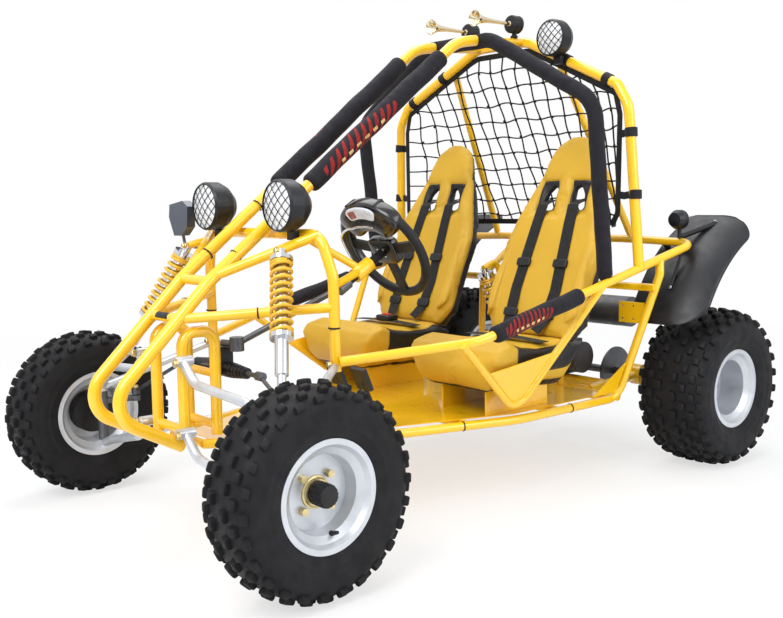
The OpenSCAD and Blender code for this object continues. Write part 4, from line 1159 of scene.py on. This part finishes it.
def net_point(across, high):
    """A point of the net, which hangs in the hoop's plane at its sides and bellies back between them. The
    belly grows downwards along a straight line and fades towards the sides by the fourth power of the
    distance across."""
    across, high = np.broadcast_arrays(np.asarray(across, dtype=float), np.asarray(high, dtype=float))
    line = np.interp(high, (NET_LOW[0], NET_HIGH[0]), (NET_LOW[1], NET_HIGH[1]))
    belly = np.maximum(line - NET_HOOP, 0.0) * (1 - np.clip(np.abs(across) / net_half(high), 0, 1) ** 4)
    return np.stack([across, FRONT_AXLE[1] + NET_HOOP + belly, high], -1)


class KART_OT_net(bpy.types.Operator):
    """Knotted net with its edge rope and a band along its foot"""

    bl_idname = "kart.net"
    bl_label = "Safety net"

    def execute(self, context):
        s = sizes()
        low, top = NET_EDGE[0][0], NET_EDGE[-1][0]
        rows = np.arange(low + s.net_cell * 0.5, top, s.net_cell)
        columns = np.arange(-8, 9) * s.net_cell
        flat = (0.0, 1.0, 0.0)
        sheets = []
        rise = np.linspace(low, top, 160)
        for high in rows:
            x = np.linspace(-1, 1, 72) * net_half(high)
            wander = NET_PULL * np.sin(x / s.net_cell * 2.1 + high * 31) * np.cos(x * 7 + high * 5)
            line = net_point(x, np.clip(high + wander, low, top))
            sheets.append(sheet(tube(line, s.net_cord / 2, flat, 6)))
        for x in columns:
            inside = rise[net_half(rise) > abs(x)]
            high = np.linspace(inside[0], inside[-1], 48)
            wander = NET_PULL * np.sin(high / s.net_cell * 1.9 + x * 27) * np.cos(high * 6 + x * 9)
            sheets.append(sheet(tube(net_point(x + wander, high), s.net_cord / 2, flat, 6)))
        x, high = (v.ravel() for v in np.meshgrid(columns, rows, indexing="ij"))
        kept = np.abs(x) < net_half(high) - 0.01
        v, u = ball_angles(5, 7)
        ball = np.stack([np.cos(v) * np.cos(u), np.cos(v) * np.sin(u), np.sin(v)], -1) * s.net_cord * 0.95
        sheets.extend(sheet(centre + ball) for centre in net_point(x[kept], high[kept]))
        around = np.concatenate([rise, rise[::-1]])
        edge = np.concatenate([net_half(rise), -net_half(rise[::-1])])
        hem = even(net_point(edge, around), 200)
        along = normalise(np.gradient(hem, axis=0))
        sheets.append(sheet(band(hem, np.cross(along, flat), NET_HEM, 0.004)))
        foot = net_point(np.linspace(-1, 1, 60) * net_half(low), low)
        sheets.append(sheet(band(foot, np.array((0.0, 0.0, 1.0)), NET_HEM, 0.004)))
        obj = piece("net_cords", sheets, [MATERIALS["net_cord"]], CHASSIS)
        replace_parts(obj, "safety_net")
        return {"FINISHED"}


# Strap bands round the tubes: point, direction of the tube, tube radius, width
HOOP_STRAPS = (
    ((0.575, 1.356, 0.960), (0.04, -0.02, -1.0)),
    ((0.562, 1.346, 1.160), (0.06, -0.02, -1.0)),
    ((0.470, 1.342, 1.336), (-0.90, 0.0, 0.43)),
    ((0.300, 1.342, 1.416), (-0.90, 0.0, 0.43)),
)
HOOP_RADIUS = 0.017
STRAP_WIDTH = 0.030


def ring_band(centre, along, radius, width, thick):
    """A flat band round a tube: a rounded strap section carried round a circle."""
    along = normalise(np.asarray(along, dtype=float))
    half = width / 2
    outer = radius + thick
    face = half - thick / 2
    section = ((radius, -half), (outer, -face), (outer, face), (radius, half), (radius, -half))
    return turned(section, centre, along, 28)


class KART_OT_straps(bpy.types.Operator):
    """Webbing bands that tie the net to the rear hoop"""

    bl_idname = "kart.straps"
    bl_label = "Net straps"

    def execute(self, context):
        sheets = []
        for side in SIDES:
            for (x, y, z), along in HOOP_STRAPS:
                spot = at(side * x, y, z)
                along = np.array(along) * (side, 1, 1)
                sheets.append(sheet(ring_band(spot, along, HOOP_RADIUS + 0.0004, STRAP_WIDTH, 0.003)))
                knot = net_point(side * net_half(min(z, NET_EDGE[-1][0])), min(z, NET_EDGE[-1][0]))
                start = spot + normalise(knot - spot) * (HOOP_RADIUS + 0.001)
                line = even(np.stack([start, (start + knot) / 2 - (0, 0, 0.004), knot]), 12)
                sheets.append(sheet(band(line, along, STRAP_WIDTH * 0.8, 0.003)))
        piece("net_straps", sheets, [MATERIALS["webbing"]], CHASSIS)
        return {"FINISHED"}


# Lamps: x, distance behind the front axle, z, diameter, depth
LAMPS = (
    (0.197, 0.258, 0.939, 0.148, 0.096),
    (-0.197, 0.258, 0.939, 0.148, 0.096),
    (0.287, 1.306, 1.486, 0.122, 0.084),
)
LAMP_RIM = 0.0062
LENS_BULGE = 0.009
GUARD_WIRE = 0.0011
GUARD_COUNT = 5


class KART_OT_lamps(bpy.types.Operator):
    """Domed lamp lenses behind thin wire guards"""

    bl_idname = "kart.lamps"
    bl_label = "Lamps"

    def execute(self, context):
        lenses, wires = [], []
        ahead = np.array((0.0, -1.0, 0.0))
        for x, y, z, wide, deep in LAMPS:
            radius = wide / 2 - LAMP_RIM
            face = at(x, y - deep / 2 + 0.0055, z)
            share = np.linspace(1, 0, 14)
            dome = np.stack([radius * share, LENS_BULGE * (1 - share**2)], -1)
            glass = np.concatenate([((0.0, -0.008), (radius, -0.008)), dome])
            lenses.append(sheet(turned(glass, face, ahead)))
            for turn in (math.pi / 4, -math.pi / 4):
                for k in range(-GUARD_COUNT // 2 + 1, GUARD_COUNT // 2 + 1):
                    off = k * wide / (GUARD_COUNT + 1.6)
                    t = np.linspace(-1, 1, 15) * math.sqrt(radius**2 - off**2)
                    px = t * math.cos(turn) - off * math.sin(turn)
                    pz = t * math.sin(turn) + off * math.cos(turn)
                    rise = 0.0025 + LENS_BULGE * (1 - (t**2 + off**2) / radius**2)
                    line = face + np.stack([px, -rise, pz], -1)
                    wires.append(sheet(tube(line, GUARD_WIRE, (0.0, 1.0, 0.0), 6)))
        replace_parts(piece("lamp_glass", lenses, [MATERIALS["clear_lens"]], CHASSIS), "lamp_lenses")
        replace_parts(piece("lamp_wires", wires, [MATERIALS["hub_black"]], CHASSIS), "lamp_guards")
        return {"FINISHED"}


# Mudguards: axis behind the front axle and above the ground, radius, inner and outer edge
GUARD_AXIS = (2.057, 0.309)
GUARD_RADIUS = 0.590
GUARD_EDGES = (0.452, 0.716)
GUARD_SWEEP = (199.0, 249.0)
GUARD_DROP = 0.044
GUARD_CORNERS = (0.075, 0.11)
GUARD_THICK = 0.005
# Stays of the left guard as x, distance behind the front axle, z of both ends, and radius
GUARD_STAYS = (
    ((0.540, 1.674, 0.811), (0.585, 1.826, 0.855), 0.010),
    ((0.575, 1.640, 0.778), (0.575, 1.566, 0.642), 0.0055),
    ((0.480, 1.672, 0.795), (0.480, 1.690, 0.772), 0.011),
)


def guard_skin(side):
    """A strip of a drum about a cross axis, whose outer half falls away by a square law and whose outer
    corners are rounded: near each end the outer edge draws in along a quarter circle. The top end flicks
    up."""
    turn = np.radians(np.linspace(*GUARD_SWEEP, 65))
    run = GUARD_RADIUS * (turn - turn[0])
    outer = np.full(len(turn), GUARD_EDGES[1])
    inner = np.full(len(turn), GUARD_EDGES[0])
    for distance, corner in ((run, GUARD_CORNERS[0]), (run[-1] - run, GUARD_CORNERS[1])):
        near = np.clip(corner - distance, 0, corner)
        outer -= corner - np.sqrt(corner**2 - near**2)
        near = np.clip(corner / 2 - distance, 0, corner / 2)
        inner += corner / 2 - np.sqrt((corner / 2) ** 2 - near**2)
    x = inner[:, None] + (outer - inner)[:, None] * np.linspace(0, 1, 25)[None]
    fall = np.clip((x - 0.59) / (GUARD_EDGES[1] - 0.59), 0, 1) ** 2
    radius = GUARD_RADIUS - GUARD_DROP * fall + 0.016 * np.clip(1 - run / 0.09, 0, 1)[:, None] ** 2
    y, z = GUARD_AXIS[0] + radius * np.sin(turn)[:, None], GUARD_AXIS[1] - radius * np.cos(turn)[:, None]
    return np.stack([side * x, FRONT_AXLE[1] + y, z], -1)


class KART_OT_guards(bpy.types.Operator):
    """Moulded mudguards with rounded corners and their stays"""

    bl_idname = "kart.guards"
    bl_label = "Mudguards"

    def execute(self, context):
        skins = [sheet(guard_skin(side)) for side in SIDES]
        skin = piece("guard_skins", skins, [MATERIALS["plastic"]], CHASSIS)
        wall = skin.modifiers.new("thickness", "SOLIDIFY")
        wall.thickness = GUARD_THICK
        wall.offset = 0.0
        sheets = []
        for side in SIDES:
            for a, b, radius in GUARD_STAYS:
                ends = np.stack([at(side * a[0], *a[1:]), at(side * b[0], *b[1:])])
                sheets.append(sheet(tube(even(ends, 6), radius, (1.0, 0.0, 0.0), 14)))
                if radius < GUARD_STAYS[2][2]:
                    away = normalise(ends[1] - at(side * b[0], *GUARD_AXIS))
                    foot = ends[1] + away * radius * 0.6
                    sheets += [sheet(h, 1) for h in hex_heads([foot], [away], 0.010, 0.006)]
        stays = piece("guard_stays", sheets, [MATERIALS["hub_black"], MATERIALS["chrome"]], CHASSIS)
        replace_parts(skin, "fenders")
        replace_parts(stays, "fenders")
        return {"FINISHED"}


# Steering wheel dressing
WHEEL_AT = (0.270, 0.548, 0.806)
COLUMN_RISE = math.radians(31.0)
WHEEL_RIM = 0.151


class KART_OT_wheel_dressing(bpy.types.Operator):
    """Window, bright strip, hub cover and screws of the steering wheel"""

    bl_idname = "kart.wheel_dressing"
    bl_label = "Steering wheel dressing"

    def execute(self, context):
        centre = at(*WHEEL_AT)
        right = np.array((1.0, 0.0, 0.0))
        axis = np.array((0.0, math.cos(COLUMN_RISE), math.sin(COLUMN_RISE)))
        up = np.array((0.0, -math.sin(COLUMN_RISE), math.cos(COLUMN_RISE)))

        def spot(across, high, back):
            return centre + right * across + up * high + axis * back

        def swept(degrees, radii, back, half_out, half_deep, power):
            """A soft-cornered section carried round the wheel and drawn in at both ends."""
            q = np.radians(np.asarray(degrees, dtype=float))
            radial = np.cos(q)[:, None] * right + np.sin(q)[:, None] * up
            line = spot(0, 0, 0) + np.asarray(radii)[..., None] * radial + np.asarray(back)[..., None] * axis
            run = np.linspace(-1, 1, len(q))
            draw = np.sqrt(np.maximum(0.0, 1 - np.abs(run) ** 8))[:, None, None]
            ring = circle(28)
            ring = np.sign(ring) * np.abs(ring) ** power * np.array((half_out, half_deep))
            return carried(line, radial, ring[None] * draw)

        sweep = np.linspace(70, 208, 60)
        trim_out = np.interp(sweep, (70, 100, 124, 142, 160, 208), (0.098, 0.099, 0.110, 0.134, 0.160, 0.160))
        trim_back = np.interp(sweep, (70, 124, 160, 208), (-0.030, -0.030, -0.024, -0.016))
        sheets = [
            sheet(swept(np.linspace(34, 146, 49), 0.124, -0.004, 0.049, 0.028, 0.55)),
            sheet(swept(np.linspace(64, 116, 33), 0.144, -0.028, 0.019, 0.0065, 0.5), 1),
            sheet(swept(np.linspace(95, 111, 17), 0.143, -0.030, 0.013, 0.0060, 0.5), 2),
            sheet(swept(sweep, trim_out, trim_back, 0.0042, 0.0042, 1.0), 3),
            sheet(swept(np.linspace(130, 214, 33), WHEEL_RIM, -0.002, 0.019, 0.020, 0.8)),
            sheet(buckle(spot(0.0, 0.0, 0.0), right, up, (0.108, 0.084, 0.036))),
        ]
        holes = [spot(0.012 * i, 0.012 * j, -0.0175) for i in (-1, 1) for j in (-1, 1)]
        sheets += [sheet(head, 3) for head in hex_heads(holes, np.tile(-axis, (4, 1)), 0.006, 0.003)]
        materials = [MATERIALS[n] for n in ("gloss_black", "window", "red_window", "chrome")]
        piece("wheel_pod", sheets, materials, "steering_wheel")
        return {"FINISHED"}


# Bolts: x, distance behind the front axle, z, direction, across flats
BOLTS = (
    (0.125, -0.074, 0.522, (0, -1, 0), 0.016),
    (0.125, -0.074, 0.322, (0, -1, 0), 0.016),
    (0.254, 0.172, 0.818, (0, -1, 0), 0.015),
    (0.436, 0.040, 0.474, (0, -1, 0), 0.015),
    (0.330, 0.286, 0.500, (0, -1, 0), 0.014),
)
# Bolts that turn with a knuckle: at its king pin and at the tie rod's end
KNUCKLE_BOLTS = (
    (0.520, 0.0, 0.371, (0, 0, 1), 0.020),
    (0.500, 0.108, 0.3445, (0, 0, 1), 0.015),
)
BOLT_HIGH = 0.009
# Cable ties: x, distance behind the front axle, z, direction of the tube, tube radius
TIES = (
    (0.078, 0.330, 0.940, (0.0, 0.79, 0.61), 0.018),
    (0.078, 0.150, 0.800, (0.0, 0.79, 0.61), 0.018),
    (0.330, 0.304, 0.600, (0.0, 0.0, 1.0), 0.0155),
    (0.204, 0.138, 0.646, (0.6, 0.8, 0.06), 0.014),
    (0.455, 1.180, 0.262, (0.0, 1.0, 0.0), 0.014),
    (0.394, 0.742, 0.262, (0.29, 0.95, 0.0), 0.014),
)


def bolt_sheets(table, side):
    """Hexagon heads of a table of bolts on one side of the kart."""
    sheets = []
    for x, y, z, axis, flats in table:
        sheets += [sheet(head) for head in hex_heads([at(side * x, y, z)], [axis], flats, BOLT_HIGH)]
    return sheets


class KART_OT_fasteners(bpy.types.Operator):
    """Hexagon heads on the pivots, ties round the tubes and a blank plate on the nose"""

    bl_idname = "kart.fasteners"
    bl_label = "Fasteners"

    def execute(self, context):
        sheets = []
        for side in SIDES:
            sheets += bolt_sheets(BOLTS, side)
            for x, y, z, along, radius in TIES:
                along = np.array(along) * (side, 1, 1)
                sheets.append(sheet(ring_band(at(side * x, y, z), along, radius + 0.0003, 0.005, 0.0015), 1))
        piece("frame_fasteners", sheets, [MATERIALS["zinc"], MATERIALS["plastic"]], CHASSIS)
        for word, side in (("left", 1), ("right", -1)):
            heads = bolt_sheets(KNUCKLE_BOLTS, side)
            piece(f"knuckle_fasteners_{word}", heads, [MATERIALS["zinc"]], f"{word}_knuckle")
        q = np.radians(np.linspace(-10, 80, 9))
        x = np.linspace(-0.034, 0.034, 5)
        arc = 0.0146 * np.stack([-np.cos(q), np.sin(q)], -1)
        bar = at(0.0, -0.036, 0.634)
        plate = bar + np.stack(np.broadcast_arrays(x[None], arc[:, :1], arc[:, 1:]), -1)
        obj = piece("nose_plate", [sheet(plate)], [MATERIALS["plastic"]], CHASSIS)
        obj.modifiers.new("thickness", "SOLIDIFY").thickness = 0.0008
        return {"FINISHED"}


# Stage

FLOOR_HALF = 60.0
# The floor shows its own light at the kart and only the backdrop far from it
FLOOR_GLOW = 0.66
FADE_FROM = 1.6
FADE_TO = 5.0
PALE = (0.9, 0.9, 0.9)
# The world's own light, which the camera doesn't see
SKY_COLOUR = (0.94, 0.97, 1.0, 1.0)
SKY_STRENGTH = 0.55
# Area lights: name, place in metres, size in metres, power in watts; and the point they face
LIGHTS = (
    ("key", (1.5, -4.0, 4.2), 3.2, 230.0),
    ("fill", (4.5, 1.0, 2.6), 3.0, 90.0),
    ("top", (-1.0, 0.5, 4.6), 3.5, 120.0),
)
LIT_POINT = (0.0, 0.0, 0.6)


class KART_OT_stage(bpy.types.Operator):
    """Pale floor, soft studio light and the camera"""

    bl_idname = "kart.stage"
    bl_label = "Stage"

    def execute(self, context):
        scene = context.scene
        span = np.linspace(-FLOOR_HALF, FLOOR_HALF, 3)
        x, y = np.meshgrid(span, span, indexing="ij")
        floor = bpy.data.meshes.new("floor")
        corners = np.stack([x, y, 0 * x], -1).reshape(-1, 3)
        floor.from_pydata(corners, [], grid_faces(3, 3, 0)[:, ::-1].tolist())
        finish = Finish("pale_floor", 0.9)
        finish.paint(finish.mottled(PALE, 0.7, 0.01))
        tree = finish.tree
        glow = tree.nodes.new("ShaderNodeEmission")
        glow.inputs["Color"].default_value = (1.0, 1.0, 1.0, 1.0)
        blend = tree.nodes.new("ShaderNodeMixShader")
        path = tree.nodes.new("ShaderNodeLightPath")
        far = tree.nodes.new("ShaderNodeVectorMath")
        far.operation = "LENGTH"
        finish.link(finish.place.outputs["Object"], far.inputs[0])
        fade = finish.spread(far.outputs["Value"], FADE_FROM, FADE_TO, FLOOR_GLOW, 1.0)
        finish.link(finish.math("MULTIPLY", path.outputs["Is Camera Ray"], fade), blend.inputs[0])
        finish.link(finish.shader.outputs[0], blend.inputs[1])
        finish.link(glow.outputs[0], blend.inputs[2])
        finish.link(blend.outputs[0], tree.nodes["Material Output"].inputs["Surface"])
        floor.materials.append(finish.material)
        ground = bpy.data.objects.new("floor", floor)
        scene.collection.objects.link(ground)

        world = bpy.data.worlds.new("studio")
        scene.world = world
        world.use_nodes = True
        tree = world.node_tree
        seen = tree.nodes["Background"]
        seen.inputs["Color"].default_value = (1.0, 1.0, 1.0, 1.0)
        seen.inputs["Strength"].default_value = 1.0
        soft = tree.nodes.new("ShaderNodeBackground")
        soft.inputs["Color"].default_value = SKY_COLOUR
        soft.inputs["Strength"].default_value = SKY_STRENGTH
        path = tree.nodes.new("ShaderNodeLightPath")
        first = tree.nodes.new("ShaderNodeMath")
        first.operation = "MAXIMUM"
        tree.links.new(path.outputs["Is Camera Ray"], first.inputs[0])
        tree.links.new(path.outputs["Is Transmission Ray"], first.inputs[1])
        both = tree.nodes.new("ShaderNodeMath")
        both.operation = "MAXIMUM"
        tree.links.new(first.outputs[0], both.inputs[0])
        tree.links.new(path.outputs["Is Glossy Ray"], both.inputs[1])
        blend = tree.nodes.new("ShaderNodeMixShader")
        tree.links.new(both.outputs[0], blend.inputs[0])
        tree.links.new(soft.outputs[0], blend.inputs[1])
        tree.links.new(seen.outputs[0], blend.inputs[2])
        tree.links.new(blend.outputs[0], tree.nodes["World Output"].inputs["Surface"])

        for name, place, size, power in LIGHTS:
            light = bpy.data.lights.new(name, "AREA")
            light.size = size
            light.energy = power
            lamp = bpy.data.objects.new(name, light)
            ahead = normalise(np.array(LIT_POINT) - np.array(place))
            side = normalise(np.cross(ahead, (0.0, 0.0, 1.0)))
            axes = np.stack([side, np.cross(side, ahead), -ahead], 1)
            lamp.matrix_world = Matrix.Translation(place) @ Matrix(axes.tolist()).to_4x4()
            scene.collection.objects.link(lamp)

        ahead = np.array((
            math.sin(CAMERA_YAW) * math.cos(CAMERA_PITCH),
            math.cos(CAMERA_YAW) * math.cos(CAMERA_PITCH),
            math.sin(CAMERA_PITCH),
        ))
        level = np.array((math.cos(CAMERA_YAW), -math.sin(CAMERA_YAW), 0.0))
        above = np.cross(level, ahead)
        side = math.cos(CAMERA_ROLL) * level + math.sin(CAMERA_ROLL) * above
        top = -math.sin(CAMERA_ROLL) * level + math.cos(CAMERA_ROLL) * above
        lens = bpy.data.cameras.new("photo")
        lens.sensor_width = SENSOR_MM
        lens.lens = FOCAL_PX * SENSOR_MM / PHOTO_WIDTH_PX
        camera = bpy.data.objects.new("photo", lens)
        axes = np.stack([side, top, -ahead], 1)
        camera.matrix_world = Matrix.Translation(CAMERA_AT) @ Matrix(axes.tolist()).to_4x4()
        scene.collection.objects.link(camera)
        scene.camera = camera
        scene.view_settings.view_transform = "Standard"
        return {"FINISHED"}


PIECES = (
    KART_OT_finishes,
    KART_OT_tyres,
    KART_OT_hubs,
    KART_OT_springs,
    KART_OT_horns,
    KART_OT_sleeves,
    KART_OT_seats,
    KART_OT_harness,
    KART_OT_net,
    KART_OT_straps,
    KART_OT_lamps,
    KART_OT_guards,
    KART_OT_wheel_dressing,
    KART_OT_fasteners,
    KART_OT_stage,
)


class KART_PT_panel(bpy.types.Panel):
    """Lists the kart's pieces, colours and sizes"""

    bl_label = "Kart"
    bl_idname = "KART_PT_panel"
    bl_space_type = "VIEW_3D"
    bl_region_type = "UI"
    bl_category = "Kart"

    def draw(self, context):
        layout = self.layout
        for operator in PIECES:
            layout.operator(operator.bl_idname)
        for group in (context.scene.kart_colours, context.scene.kart_sizes):
            for name in group.__annotations__:
                layout.prop(group, name)


CLASSES = (KartColours, KartSizes, *PIECES, KART_PT_panel)


def register():
    """Registers the classes and the scene's properties."""
    for cls in CLASSES:
        bpy.utils.register_class(cls)
    bpy.types.Scene.kart_colours = bpy.props.PointerProperty(type=KartColours)
    bpy.types.Scene.kart_sizes = bpy.props.PointerProperty(type=KartSizes)


def unregister():
    """Undoes register."""
    del bpy.types.Scene.kart_sizes
    del bpy.types.Scene.kart_colours
    for cls in reversed(CLASSES):
        bpy.utils.unregister_class(cls)


def main():
    """Builds every piece in order."""
    register()
    for operator in PIECES:
        group, name = operator.bl_idname.split(".")
        getattr(getattr(bpy.ops, group), name)()
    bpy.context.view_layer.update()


if __name__ == "__main__":
    main()
